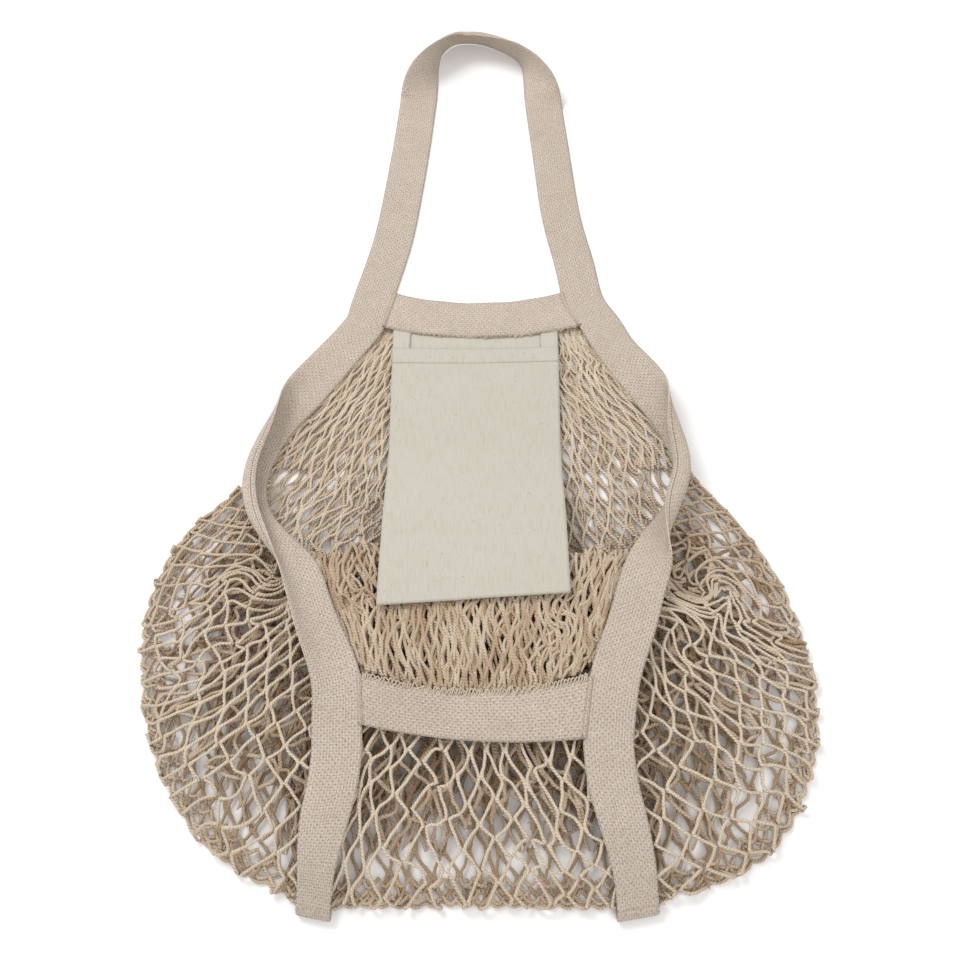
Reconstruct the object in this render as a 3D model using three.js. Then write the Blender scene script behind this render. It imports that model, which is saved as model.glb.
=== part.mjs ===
// A string shopping bag with long handles, lying flat with its mouth open and its handles spread.
// Millimetres, +Z up. +Y runs from the bag's bottom fold towards the top of the back handle.
import * as THREE from "three";

// Tape: one knitted band makes the handles, the collars and the two mouth bands.
const tapeWidth = 38;
const tapeThickness = 2;
const bandHeight = 38;
const seamLap = 6; // how far the net runs under the tape that it is sewn to

// Bag, measured as it lies.
const bodyWidth = 540;
const bodyLength = 502; // from the back band's lower edge to the bottom fold
const mouthDepth = 340; // from the back band's lower edge to the front band's upper edge
const mouthWidth = 344; // between the net edges of the two side collars
const turnLine = 228; // from the back band's lower edge to the line where the front panel turns over
const turnRadius = 3.2; // half the space inside that turn
const loft = 30; // how high the front panel stands above the back panel

// Net.
const cordThickness = 2.4;
const knotShare = 0.2; // a knot's half width, as a share of half a mesh
const rimShare = 0.14; // the border cord's width, as a share of half a mesh

// Handles.
const handleRise = 398; // from the back band's lower edge to the top of the back handle
const handleSpan = 170; // between the net edges of the handle where it meets a band
const underReach = 76; // straight run of the front handle under the bag
const underSpread = 192; // between the net edges of the front handle under the bag

// Pouch.
const pouchWidth = 154;
const pouchLength = 280;
const pouchWall = 1;
const pouchRoom = 1.2; // space between the pouch's two walls
const pouchHem = 13; // how much lower the front wall's upper edge is

const clearance = 0.3; // between pieces that touch
const panelGap = 0.7; // between the two panels of the net along the outline
const clothColour = 0xd2c5ad;
const tapeColour = 0xcdc0ac;
const cordColour = 0xd8c8ac;

// The back band's lower edge lies on this line, and every other place is counted from it.
const bandLine = 52;
const bottomLine = bandLine - bodyLength;
const turnY = bandLine - turnLine;
const frontLine = bandLine - mouthDepth;

const smooth = (from, to, x) => {
  const t = Math.min(1, Math.max(0, (x - from) / (to - from)));
  return t * t * (3 - 2 * t);
};

// A smooth value from a table: a cubic through the rows around `at`, with slopes from their neighbours.
function lookUp(rows, key, at) {
  let i = rows.findIndex((row) => row.at > at) - 1;
  if (i < 0) i = at <= rows[0].at ? 0 : rows.length - 2;
  const [a, b] = [rows[i], rows[i + 1]];
  const slope = (p, q) => (q[key] - p[key]) / (q.at - p.at);
  const middle = slope(a, b);
  const before = i > 0 ? (slope(rows[i - 1], a) + middle) / 2 : middle;
  const after = i + 2 < rows.length ? (slope(b, rows[i + 2]) + middle) / 2 : middle;
  const span = b.at - a.at;
  const t = Math.min(1, Math.max(0, (at - a.at) / span));
  const s = 1 - t;
  return (
    a[key] * s * s * (1 + 2 * t) +
    b[key] * t * t * (1 + 2 * s) +
    span * s * t * (before * s - after * t)
  );
}

// Outline of the lying body. at: share of bodyLength from the back band. left, right: shares of half
// the bodyWidth. rise: share of the loft on the middle line.
const outline = [
  { at: -0.012, left: 0.29, right: 0.28, rise: 0.0 },
  { at: 0.104, left: 0.45, right: 0.47, rise: 0.04 },
  { at: 0.203, left: 0.61, right: 0.63, rise: 0.1 },
  { at: 0.303, left: 0.74, right: 0.72, rise: 0.26 },
  { at: 0.402, left: 0.91, right: 0.86, rise: 0.56 },
  { at: 0.502, left: 0.985, right: 0.95, rise: 0.84 },
  { at: 0.602, left: 1.0, right: 0.99, rise: 0.97 },
  { at: 0.701, left: 0.965, right: 1.0, rise: 1.0 },
  { at: 0.801, left: 0.89, right: 0.965, rise: 0.93 },
  { at: 0.9, left: 0.765, right: 0.86, rise: 0.68 },
  { at: 0.96, left: 0.61, right: 0.7, rise: 0.38 },
  { at: 1.0, left: 0.45, right: 0.46, rise: 0.0 },
];
const alongOf = (y) => (bandLine - y) / bodyLength;
const leftEdge = (y) => (-lookUp(outline, "left", alongOf(y)) * bodyWidth) / 2;
const rightEdge = (y) => (lookUp(outline, "right", alongOf(y)) * bodyWidth) / 2;

// The handle's hidden run lifts the back panel by one tape near the bottom fold.
const liftStart = bottomLine + underReach + (underSpread + tapeWidth) / 2 + tapeWidth + 8;
const liftOver = 130;
const backHeight = (y) =>
  cordThickness / 2 + (tapeThickness + clearance) * (1 - smooth(liftStart, liftStart + liftOver, y));

// Height of the front panel: it meets the back panel at the outline and swells between.
const swell = 2.5;
function frontHeight(x, y) {
  const inside = Math.min(y, bandLine);
  const half = x < 0 ? -leftEdge(inside) : rightEdge(inside);
  const side = Math.min(1, Math.abs(x) / half);
  const dome = Math.max(0, lookUp(outline, "rise", alongOf(inside))) * (1 - side ** swell);
  return backHeight(y) + cordThickness + panelGap + loft * dome;
}

// What a tape rests on: the net inside the outline, the ground beyond the back band.
const armDrop = 45;
function bed(x, y) {
  const onNet = frontHeight(x, y) + cordThickness / 2 + clearance;
  return onNet * (1 - smooth(bandLine + seamLap + 2, bandLine + seamLap + 2 + armDrop, y));
}
// Tapes over the turned part of the front panel lie one turn higher.
const overTurn = (y) =>
  2 * turnRadius * (1 - smooth(turnY + 6, turnY + 40, y)) * smooth(frontLine - 60, frontLine - 4, y);

// A closed solid from a surface and a set of faces. Each face is a list of [a, s] corners, turning
// left. The solid stands half a thickness to either side of surface(a, s).
function clothSolid(faces, surface, thickness) {
  const step = 1e-3;
  const index = new Map();
  const corners = [];
  const idOf = ([a, s]) => {
    const key = a.toFixed(5) + "," + s.toFixed(5);
    if (!index.has(key)) {
      index.set(key, corners.length);
      corners.push([a, s]);
    }
    return index.get(key);
  };
  const loops = faces.map((face) => face.map(idOf));
  const edges = new Map();
  for (const loop of loops)
    loop.forEach((from, k) => {
      const to = loop[(k + 1) % loop.length];
      if (!edges.delete(to + ">" + from)) edges.set(from + ">" + to, [from, to]);
    });
  const inRange = (v) => Math.min(1, Math.max(0, v));
  const sides = corners.map(([a, s]) => {
    const alongA = surface(inRange(a + step), s).sub(surface(inRange(a - step), s));
    const alongS = surface(a, inRange(s + step)).sub(surface(a, inRange(s - step)));
    const offset = alongA.cross(alongS).normalize().multiplyScalar(thickness / 2);
    const middle = surface(a, s);
    return [middle.clone().add(offset), middle.clone().sub(offset)];
  });
  const points = [...sides.map((pair) => pair[0]), ...sides.map((pair) => pair[1])];
  const under = corners.length;
  const triangles = [];
  for (const loop of loops)
    for (let k = 1; k + 1 < loop.length; k++) {
      triangles.push(loop[0], loop[k], loop[k + 1]);
      triangles.push(under + loop[0], under + loop[k + 1], under + loop[k]);
    }
  for (const [from, to] of edges.values()) {
    triangles.push(to, from, under + from);
    triangles.push(to, under + from, under + to);
  }
  const geometry = new THREE.BufferGeometry();
  geometry.setAttribute("position", new THREE.Float32BufferAttribute(points.flatMap((p) => p.toArray()), 3));
  geometry.setIndex(triangles);
  geometry.computeVertexNormals();
  return geometry;
}

// Faces of a plain sheet.
function sheetFaces(across, along) {
  const faces = [];
  for (let i = 0; i < across; i++)
    for (let j = 0; j < along; j++)
      faces.push([
        [i / across, j / along],
        [(i + 1) / across, j / along],
        [(i + 1) / across, (j + 1) / along],
        [i / across, (j + 1) / along],
      ]);
  return faces;
}

// Faces of a diamond net: knots where i + j is even, cords between them, and a border cord all round.
// One mesh is two columns wide and two rows long.
function netFaces(columns, rows, cordSteps) {
  const faces = [];
  const add = (corners) => faces.push(corners.map(([i, j]) => [i / columns, j / rows]));
  const k = knotShare;
  const r = rimShare;
  // The corner of the knot at (i, j) that looks towards (di, dj), kept inside the border cord.
  const corner = (i, j, di, dj) => {
    const x = i + di * k;
    const y = j + dj * k;
    const onSide = (i === 0 || i === columns) && dj !== 0;
    const onEnd = (j === 0 || j === rows) && di !== 0;
    const inX = i === 0 ? 1 : -1;
    const inY = j === 0 ? 1 : -1;
    return [onSide ? i + inX * r : x, onEnd ? j + inY * r : y].map((v, n) => {
      if (n === 0 && onEnd) return v + di * r;
      if (n === 1 && onSide) return v + dj * r;
      return v;
    });
  };
  for (let i = 0; i <= columns; i++)
    for (let j = 0; j <= rows; j++) {
      if ((i + j) % 2) continue;
      const left = i === 0;
      const right = i === columns;
      const low = j === 0;
      const high = j === rows;
      const ring = [];
      if (right && low) ring.push([i, j]);
      if (right && !low) ring.push([i, j - k - r]);
      if (right && !high) ring.push([i, j + k + r]);
      if (!right) ring.push(corner(i, j, 1, 0));
      if (right && high) ring.push([i, j]);
      if (high && !right) ring.push([i + k + r, j]);
      if (high && !left) ring.push([i - k - r, j]);
      if (!high) ring.push(corner(i, j, 0, 1));
      if (left && high) ring.push([i, j]);
      if (left && !high) ring.push([i, j + k + r]);
      if (left && !low) ring.push([i, j - k - r]);
      if (!left) ring.push(corner(i, j, -1, 0));
      if (left && low) ring.push([i, j]);
      if (low && !left) ring.push([i - k - r, j]);
      if (low && !right) ring.push([i + k + r, j]);
      if (!low) ring.push(corner(i, j, 0, -1));
      add(turned(ring, i, j));
      for (const side of [1, -1]) {
        const [p, q] = [i + side, j + 1];
        if (p < 0 || p > columns || q > rows) continue;
        const near = corner(i, j, side, 0);
        const far = corner(p, q, 0, -1);
        const farOther = corner(p, q, -side, 0);
        const nearOther = corner(i, j, 0, 1);
        const mix = (u, v, t) => [u[0] + (v[0] - u[0]) * t, u[1] + (v[1] - u[1]) * t];
        for (let n = 0; n < cordSteps; n++) {
          const [t0, t1] = [n / cordSteps, (n + 1) / cordSteps];
          const quad = [mix(near, far, t0), mix(near, far, t1), mix(nearOther, farOther, t1), mix(nearOther, farOther, t0)];
          add(side > 0 ? quad : quad.reverse());
        }
      }
      if ((left || right) && j + 2 <= rows) {
        const x = left ? r : columns - r;
        const quad = [[i, j + k + r], [x, j + k + r], [x, j + 2 - k - r], [i, j + 2 - k - r]];
        add(left ? quad : quad.reverse());
      }
      if ((low || high) && i + 2 <= columns) {
        const y = low ? r : rows - r;
        const quad = [[i + k + r, j], [i + 2 - k - r, j], [i + 2 - k - r, y], [i + k + r, y]];
        add(low ? quad : quad.reverse());
      }
    }
  return faces;
}

// The same corners in order round the middle of their box, so that the face turns left.
function turned(ring, i, j) {
  const middle = [0, 1].map((n) => ring.reduce((sum, c) => sum + c[n], 0) / ring.length);
  const angle = (c) => Math.atan2(c[1] - middle[1], c[0] - middle[0]);
  return ring.slice().sort((c, d) => angle(c) - angle(d));
}

// Back panel: meshes gathered at the back band and spread to the outline.
function backPanel(a, s) {
  const top = bandLine + seamLap;
  const y = top + (bottomLine - top) * s;
  const x = leftEdge(y) + (rightEdge(y) - leftEdge(y)) * a;
  return new THREE.Vector3(x, y, backHeight(y));
}

// Front panel, from the collar's net edge over the turn to the outline. at: place round the mouth,
// from the back left. across: share of half the mouthWidth. down: share of mouthDepth.
// edge: share of bodyLength where the column ends, and reach: share of the outline's half width there.
const frontColumns = [
  { at: 0.0, across: -0.52, down: 0.02, edge: 0.08, reach: -1 },
  { at: 0.07, across: -0.78, down: 0.22, edge: 0.21, reach: -1 },
  { at: 0.12, across: -1.0, down: 0.43, edge: 0.32, reach: -1 },
  { at: 0.165, across: -1.0, down: 0.53, edge: 0.44, reach: -1 },
  { at: 0.215, across: -0.86, down: 0.66, edge: 0.61, reach: -1 },
  { at: 0.27, across: -0.65, down: 0.84, edge: 0.76, reach: -1 },
  { at: 0.325, across: -0.5, down: 0.975, edge: 0.9, reach: -1 },
  { at: 0.38, across: -0.33, down: 0.98, edge: 1.0, reach: -0.98 },
  { at: 0.5, across: 0.0, down: 0.985, edge: 1.0, reach: 0 },
  { at: 0.62, across: 0.33, down: 0.98, edge: 1.0, reach: 0.98 },
  { at: 0.675, across: 0.5, down: 0.975, edge: 0.9, reach: 1 },
  { at: 0.73, across: 0.65, down: 0.84, edge: 0.76, reach: 1 },
  { at: 0.785, across: 0.84, down: 0.66, edge: 0.6, reach: 1 },
  { at: 0.835, across: 0.98, down: 0.52, edge: 0.42, reach: 1 },
  { at: 0.88, across: 1.0, down: 0.4, edge: 0.31, reach: 1 },
  { at: 0.93, across: 0.82, down: 0.2, edge: 0.2, reach: 1 },
  { at: 1.0, across: 0.58, down: 0.02, edge: 0.08, reach: 1 },
];
const turnSpread = 0.3; // the turned part widens towards the turn by this share
function frontPanel(a, s) {
  const value = (key) => lookUp(frontColumns, key, a);
  const start = new THREE.Vector2((value("across") * mouthWidth) / 2, bandLine - value("down") * mouthDepth);
  const endY = bandLine - Math.min(1, value("edge")) * bodyLength;
  const reach = Math.min(1, Math.max(-1, value("reach")));
  const end = new THREE.Vector2(reach < 0 ? -reach * leftEdge(endY) : reach * rightEdge(endY), endY);
  const fold = Math.max(0, turnY - start.y);
  const share = fold / (turnY - frontLine);
  const turn = new THREE.Vector2(start.x * (1 + turnSpread * share), start.y + fold);
  const under = turn.distanceTo(end);
  // The turn lies a third of the way down the front columns and at the start of the side ones.
  const turnShare = share / 3;
  const radius = Math.max(0.02, turnRadius * share);
  const quarter = (Math.PI / 2) * radius;
  const away = s < turnShare ? fold * (1 - s / turnShare) : under * ((s - turnShare) / (1 - turnShare));
  const target = s < turnShare ? start : end;
  const whole = s < turnShare ? fold : under;
  const bend = Math.min(1, away / quarter);
  const plan = Math.min(whole, away < quarter ? radius * (1 - Math.cos(bend * (Math.PI / 2))) : away - quarter + radius);
  const place = turn.clone().lerp(target, whole ? plan / whole : 0);
  const side = Math.sin(bend * (Math.PI / 2)) * (s < turnShare ? 1 : -1);
  return new THREE.Vector3(place.x, place.y, frontHeight(place.x, place.y) + radius * (1 + side));
}

// Net edge of the tape. across: share of half the span that the row follows, down or up: share of its
// length. lean: degrees from lying flat with the free edge outwards to standing and past it.
const collarRows = [
  { at: 0, leftAcross: -0.47, rightAcross: 0.49, down: -0.118, leftLean: 0, rightLean: 0 },
  { at: 1, leftAcross: -0.5, rightAcross: 0.555, down: -0.02, leftLean: 0, rightLean: 0 },
  { at: 2, leftAcross: -0.62, rightAcross: 0.66, down: 0.08, leftLean: 6, rightLean: 6 },
  { at: 3, leftAcross: -0.77, rightAcross: 0.82, down: 0.21, leftLean: 22, rightLean: 22 },
  { at: 4, leftAcross: -0.91, rightAcross: 0.95, down: 0.32, leftLean: 50, rightLean: 55 },
  { at: 5, leftAcross: -0.99, rightAcross: 1.0, down: 0.43, leftLean: 82, rightLean: 80 },
  { at: 6, leftAcross: -0.98, rightAcross: 0.97, down: 0.53, leftLean: 84, rightLean: 72 },
  { at: 7, leftAcross: -0.89, rightAcross: 0.86, down: 0.62, leftLean: 56, rightLean: 42 },
  { at: 8, leftAcross: -0.74, rightAcross: 0.74, down: 0.71, leftLean: 18, rightLean: 14 },
  { at: 9, leftAcross: -0.63, rightAcross: 0.635, down: 0.84, leftLean: 0, rightLean: 0 },
  { at: 10, leftAcross: -0.505, rightAcross: 0.515, down: 0.985, leftLean: 0, rightLean: 0 },
  { at: 11, leftAcross: -0.485, rightAcross: 0.475, down: 1.12, leftLean: 0, rightLean: 0 },
];
const handleRows = [
  { across: -0.95, up: 0.101, lean: 0 },
  { across: -0.79, up: 0.216, lean: 0 },
  { across: -0.69, up: 0.327, lean: 0 },
  { across: -0.57, up: 0.545, lean: 4 },
  { across: -0.51, up: 0.74, lean: 25 },
  { across: -0.5, up: 0.885, lean: 75 },
  { across: -0.34, up: 0.965, lean: 112 },
  { across: -0.03, up: 1.0, lean: 128 },
  { across: 0.38, up: 0.972, lean: 112 },
  { across: 0.63, up: 0.895, lean: 75 },
  { across: 0.645, up: 0.74, lean: 25 },
  { across: 0.67, up: 0.585, lean: 4 },
  { across: 0.77, up: 0.37, lean: 0 },
  { across: 0.9, up: 0.216, lean: 0 },
  { across: 0.99, up: 0.101, lean: 0 },
];

// A tape along stations. Each station has its net edge and the direction across the tape. It stops a
// clearance short of its last station and begins one after its first, where the next tape is sewn on.
function tapeSolid(stations) {
  const edge = new THREE.CatmullRomCurve3(stations.map((s) => s.edge), false, "centripetal");
  const across = new THREE.CatmullRomCurve3(stations.map((s) => s.across), false, "centripetal");
  const spans = stations.length - 1;
  const trim = (near, next) => clearance / stations.at(near).edge.distanceTo(stations.at(next).edge) / spans;
  const [first, last] = [trim(0, 1), trim(-1, -2)];
  const surface = (u, v) => {
    const place = first + (1 - first - last) * v;
    return edge.getPoint(place).addScaledVector(across.getPoint(place).normalize(), tapeWidth * u);
  };
  return clothSolid(sheetFaces(2, spans), surface, tapeThickness);
}

// Stations from rows with a plan place and a lean, resting on what lies below.
const stationsPerRow = 3;
function restingStations(rows, towardsFree) {
  const curve = new THREE.CatmullRomCurve3(rows.map((row) => new THREE.Vector3(row.x, row.y, row.lean)));
  const count = (rows.length - 1) * stationsPerRow;
  return Array.from({ length: count + 1 }, (_, n) => {
    const place = curve.getPoint(n / count);
    const row = { x: place.x, y: place.y };
    const heading = curve.getTangent(n / count);
    const outward = new THREE.Vector3(-heading.y, heading.x, 0).multiplyScalar(towardsFree).normalize();
    const lean = THREE.MathUtils.degToRad(Math.max(0, place.z));
    const across = outward.clone().multiplyScalar(Math.cos(lean)).add(new THREE.Vector3(0, 0, Math.sin(lean)));
    const reach = [0, 0.5, 1].map((u) => {
      const x = row.x + across.x * tapeWidth * u;
      const y = row.y + across.y * tapeWidth * u;
      return bed(x, y) + overTurn(y) - across.z * tapeWidth * u;
    });
    const height = Math.max(...reach) + tapeThickness / 2;
    return { edge: new THREE.Vector3(row.x, row.y, height), across };
  });
}

const collarPlan = (side) =>
  collarRows.map((row) => ({
    x: (row[side + "Across"] * mouthWidth) / 2,
    y: bandLine - row.down * mouthDepth,
    lean: row[side + "Lean"],
  }));
function collarStations(side) {
  const stations = restingStations(collarPlan(side), side === "left" ? -1 : 1);
  stations[0] = handleStations().at(side === "left" ? 0 : -1);
  return stations;
}

function handleStations() {
  const plan = handleRows.map((row) => ({
    x: (row.across * handleSpan) / 2,
    y: bandLine + row.up * handleRise,
    lean: row.lean,
  }));
  return restingStations(plan, 1);
}

// The front handle: two arms over the front panel, round the bottom fold, and a plain turn below.
function frontHandleStations() {
  const stations = [];
  const half = underSpread / 2;
  const add = (x, y, z, heading) =>
    stations.push({
      edge: new THREE.Vector3(x, y, z),
      across: new THREE.Vector3(Math.cos(heading), Math.sin(heading), 0),
    });
  const onTop = (x, y, sign) =>
    Math.max(bed(x, y) + overTurn(y), bed(x + sign * tapeWidth, y) + overTurn(y)) + tapeThickness / 2;
  const low = tapeThickness / 2;
  for (const sign of [-1, 1]) {
    const last = collarStations(sign < 0 ? "left" : "right").at(-1);
    const heading = sign < 0 ? Math.PI : 0;
    const arm = [last.edge.toArray()];
    const armSteps = 9;
    for (let n = 1; n <= armSteps; n++) {
      const share = n / armSteps;
      const y = last.edge.y + (bottomLine - last.edge.y) * share;
      const x = last.edge.x + (sign * half - last.edge.x) * smooth(0.15, 1, share);
      arm.push([x, y, onTop(x, y, sign)]);
    }
    const high = arm.at(-1)[2];
    const radius = (high - low) / 2;
    for (let turn = 22.5; turn <= 180; turn += 22.5) {
      const angle = THREE.MathUtils.degToRad(turn);
      arm.push([sign * half, bottomLine - radius * Math.sin(angle), low + radius + radius * Math.cos(angle)]);
    }
    arm.push([sign * half, bottomLine + underReach / 2, low]);
    arm.push([sign * half, bottomLine + underReach, low]);
    if (sign > 0) arm.reverse();
    if (sign > 0)
      for (let turn = 165; turn > 0; turn -= 15) {
        const angle = THREE.MathUtils.degToRad(turn);
        add(half * Math.cos(angle), bottomLine + underReach + half * Math.sin(angle), low, angle);
      }
    arm.forEach(([x, y, z]) => add(x, y, z, heading));
    if (sign < 0) stations[0] = last;
    else stations[stations.length - 1] = last;
  }
  return stations;
}

// Where a collar's net edge crosses a line across the bag, at the height of the band that ends there.
function crossing(stations, y) {
  const edge = new THREE.CatmullRomCurve3(stations.map((s) => s.edge), false, "centripetal");
  let [low, high] = [0, 1];
  for (let n = 0; n < 40; n++) {
    const middle = (low + high) / 2;
    if (edge.getPoint(middle).y > y) low = middle;
    else high = middle;
  }
  return edge.getPoint(low).x;
}

// A mouth band: a flat tape between the net edges of the two collars. bow: how far its middle dips.
function bandSolid(upperY, bow) {
  const sides = ["left", "right"].map(collarStations);
  const surface = (a, s) => {
    const y = upperY - bandHeight * (1 - s);
    const [left, right] = sides.map((stations) => crossing(stations, y));
    const x = left + clearance * 2 + (right - left - clearance * 4) * a;
    const dip = bow * 4 * a * (1 - a);
    return new THREE.Vector3(x, y - dip, bed(x, y) + overTurn(y) + tapeThickness / 2);
  };
  return clothSolid(sheetFaces(8, 3), surface, tapeThickness);
}

// The pouch: two walls closed at the sides and the lower end, open at the upper end. It lies on the
// back panel, then climbs over the turn and rests on the turned part of the front panel.
const pouchClimb = 60;
function pouchSolid() {
  const lowBed = (y) => backHeight(y) + cordThickness / 2 + clearance;
  const highBed = (y) => frontHeight(0, y) + 2 * turnRadius + cordThickness / 2 + clearance;
  const top = bandLine - clearance;
  const climbEnd = turnY + 14;
  const under = (y) => {
    const climb = 1 - smooth(climbEnd, climbEnd + pouchClimb, y);
    return lowBed(y) + (highBed(Math.min(y, climbEnd)) - lowBed(y)) * climb;
  };
  const steps = 16;
  const points = [];
  const loops = [];
  const height = 2 * pouchWall + pouchRoom;
  // inset: how far the loop lies inside the outer skin.
  const addLoop = (y, frontY, inset) => {
    const half = pouchWidth / 2 - inset;
    const base = points.length / 3;
    const corners = [
      [-half, y, inset],
      [half, y, inset],
      [half, frontY, height - inset],
      [-half, frontY, height - inset],
    ];
    for (const [x, cornerY, up] of corners) points.push(x, cornerY, under(cornerY) + up);
    loops.push([base, base + 1, base + 2, base + 3]);
  };
  const rows = [];
  for (let n = 0; n <= steps; n++) rows.push(n / steps);
  const lineUp = (share, end) => top - (pouchLength - end) * share;
  for (const share of rows) {
    const y = lineUp(share, 0);
    addLoop(y, y - pouchHem * Math.max(0, 1 - share * steps), 0);
  }
  for (const share of rows) {
    const y = lineUp(share, pouchWall * 2);
    addLoop(y, y - pouchHem * Math.max(0, 1 - share * steps), pouchWall);
  }
  const triangles = [];
  const quad = (a, b, c, d) => triangles.push(a, c, b, a, d, c);
  const outer = loops.slice(0, steps + 1);
  const inner = loops.slice(steps + 1);
  for (let n = 0; n < steps; n++)
    for (let k = 0; k < 4; k++) {
      const m = (k + 1) % 4;
      quad(outer[n][k], outer[n + 1][k], outer[n + 1][m], outer[n][m]);
      quad(inner[n][m], inner[n + 1][m], inner[n + 1][k], inner[n][k]);
    }
  const [outerEnd, innerEnd] = [outer.at(-1), inner.at(-1)];
  quad(outerEnd[3], outerEnd[2], outerEnd[1], outerEnd[0]);
  quad(innerEnd[0], innerEnd[1], innerEnd[2], innerEnd[3]);
  for (let k = 0; k < 4; k++) {
    const m = (k + 1) % 4;
    quad(outer[0][k], outer[0][m], inner[0][m], inner[0][k]);
  }
  const geometry = new THREE.BufferGeometry();
  geometry.setAttribute("position", new THREE.Float32BufferAttribute(points, 3));
  geometry.setIndex(triangles);
  geometry.computeVertexNormals();
  return geometry;
}

const cloth = (colour) => new THREE.MeshStandardMaterial({ color: colour, roughness: 0.92, metalness: 0 });
const bag = new THREE.Group();
function addPiece(name, geometry, colour) {
  const mesh = new THREE.Mesh(geometry, cloth(colour));
  mesh.name = name;
  bag.add(mesh);
}

addPiece("back_handle", tapeSolid(handleStations()), tapeColour);
addPiece("left_collar", tapeSolid(collarStations("left")), tapeColour);
addPiece("right_collar", tapeSolid(collarStations("right")), tapeColour);
addPiece("front_handle", tapeSolid(frontHandleStations()), tapeColour);
addPiece("back_band", bandSolid(bandLine + bandHeight, 0), tapeColour);
addPiece("front_band", bandSolid(frontLine, 0), tapeColour);
addPiece("net_back_panel", clothSolid(netFaces(12, 8, 2), backPanel, cordThickness), cordColour);
addPiece("net_front_panel", clothSolid(netFaces(22, 6, 3), frontPanel, cordThickness), cordColour);
addPiece("pouch", pouchSolid(), clothColour);

// The origin is the middle of the bag's footprint, on the surface that it lies on.
const extent = new THREE.Box3().setFromObject(bag);
const centre = extent.getCenter(new THREE.Vector3());
bag.position.set(-centre.x, -centre.y, -extent.min.z);

export default bag;
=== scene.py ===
# %% [markdown]
# # A string shopping bag, lying flat with its mouth folded open
# The bag is four things: one long knitted tape that makes both handles and the sides of the mouth,
# two short bands of the same tape, a net of twisted cotton string, and a pouch of plain cloth.
# The CAD frame has a plain solid for each, and its bottom fold is where this bag is measured from. Here
# each gets its real surface, worked out with numpy as a function of two parameters, and its own cotton.

import bpy
import numpy as np
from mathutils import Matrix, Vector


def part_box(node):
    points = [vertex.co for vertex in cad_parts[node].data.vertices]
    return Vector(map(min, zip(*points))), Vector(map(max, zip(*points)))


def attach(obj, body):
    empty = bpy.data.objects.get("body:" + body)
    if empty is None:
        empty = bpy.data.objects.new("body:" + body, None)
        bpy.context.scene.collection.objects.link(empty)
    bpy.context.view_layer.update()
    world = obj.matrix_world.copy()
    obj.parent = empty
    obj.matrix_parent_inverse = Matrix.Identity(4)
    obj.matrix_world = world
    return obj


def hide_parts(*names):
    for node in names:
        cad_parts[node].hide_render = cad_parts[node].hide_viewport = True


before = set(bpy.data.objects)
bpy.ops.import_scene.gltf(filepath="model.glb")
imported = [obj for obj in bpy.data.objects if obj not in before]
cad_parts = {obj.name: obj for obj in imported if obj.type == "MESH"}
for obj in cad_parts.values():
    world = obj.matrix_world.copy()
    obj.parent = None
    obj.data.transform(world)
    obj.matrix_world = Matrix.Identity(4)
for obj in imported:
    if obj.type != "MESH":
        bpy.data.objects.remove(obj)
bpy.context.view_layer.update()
scene = bpy.context.scene
print("nodes in the frame:", sorted(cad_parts))

# %% [markdown]
# ## Sizes
# All places are counted from the lower edge of the back band, a line that is easy to find in the
# photograph. Lengths are in metres. The tables hold shares of these few sizes, so the bag stays one shape
# when a size is changed.

# %% Driving sizes
MM = 0.001
TAPE_WIDTH = 38 * MM
TAPE_THICK = 1.9 * MM
BODY_WIDTH = 540 * MM
BODY_LENGTH = 502 * MM  # down to the bottom fold
MOUTH_DEPTH = 340 * MM  # down to the front band's upper edge
MOUTH_WIDTH = 344 * MM  # between the net edges of the two collars
TURN_LINE = 228 * MM  # down to the line where the front panel turns over
TURN_RADIUS = 3.4 * MM
LOFT = 30 * MM  # how high the front panel stands above the back panel
HANDLE_RISE = 398 * MM  # up to the top of the back handle
HANDLE_SPAN = 170 * MM  # between the handle's net edges where it meets a band
UNDER_REACH = 76 * MM  # straight run of the front handle under the bag
UNDER_SPREAD = 206 * MM  # between the net edges of the two arms at the bottom fold
STRING = 2.8 * MM  # thickness of a string
SEAM_LAP = 6 * MM  # how far the net reaches under a band before the tape comes down
NET_TOP = 19 * MM  # how far the net reaches up under the back band
SEAM_RIDGE = 3 * MM  # width of the ridge where a band is sewn to the strap
POUCH_WIDTH = 152 * MM
POUCH_LENGTH = 290 * MM
NET_GAP = 2.4 * MM  # room that one panel of the net takes up
PANEL_GAP = 0.7 * MM  # between the two panels along the outline
CLEARANCE = 0.3 * MM  # between pieces that touch

BOTTOM_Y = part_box("net_back_panel")[0][1]
BAND_Y = BOTTOM_Y + BODY_LENGTH
TURN_Y = BAND_Y - TURN_LINE
FRONT_Y = BAND_Y - MOUTH_DEPTH
print("bottom fold, turn, front band and back band at y, metres:")
print([round(float(y), 4) for y in (BOTTOM_Y, TURN_Y, FRONT_Y, BAND_Y)])

# %% [markdown]
# ## Curves from a few rows
# Outlines and edges are given by a few rows. Straight lines between them would show corners, so a
# cubic runs through the rows, and every step from one value to another has level ends.


# %% Tables and smooth steps
def smooth(low, high, x):
    """A step from 0 at low to 1 at high with level ends: 3 t squared minus 2 t cubed."""
    t = np.clip((np.asarray(x, float) - low) / (high - low), 0, 1)
    return t * t * (3 - 2 * t)


def table(columns, text):
    """Rows of numbers under named columns, as a dictionary of arrays."""
    rows = np.array([[float(v) for v in line.split()] for line in text.strip().splitlines()])
    return {name: rows[:, k] for k, name in enumerate(columns.split())}


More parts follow.
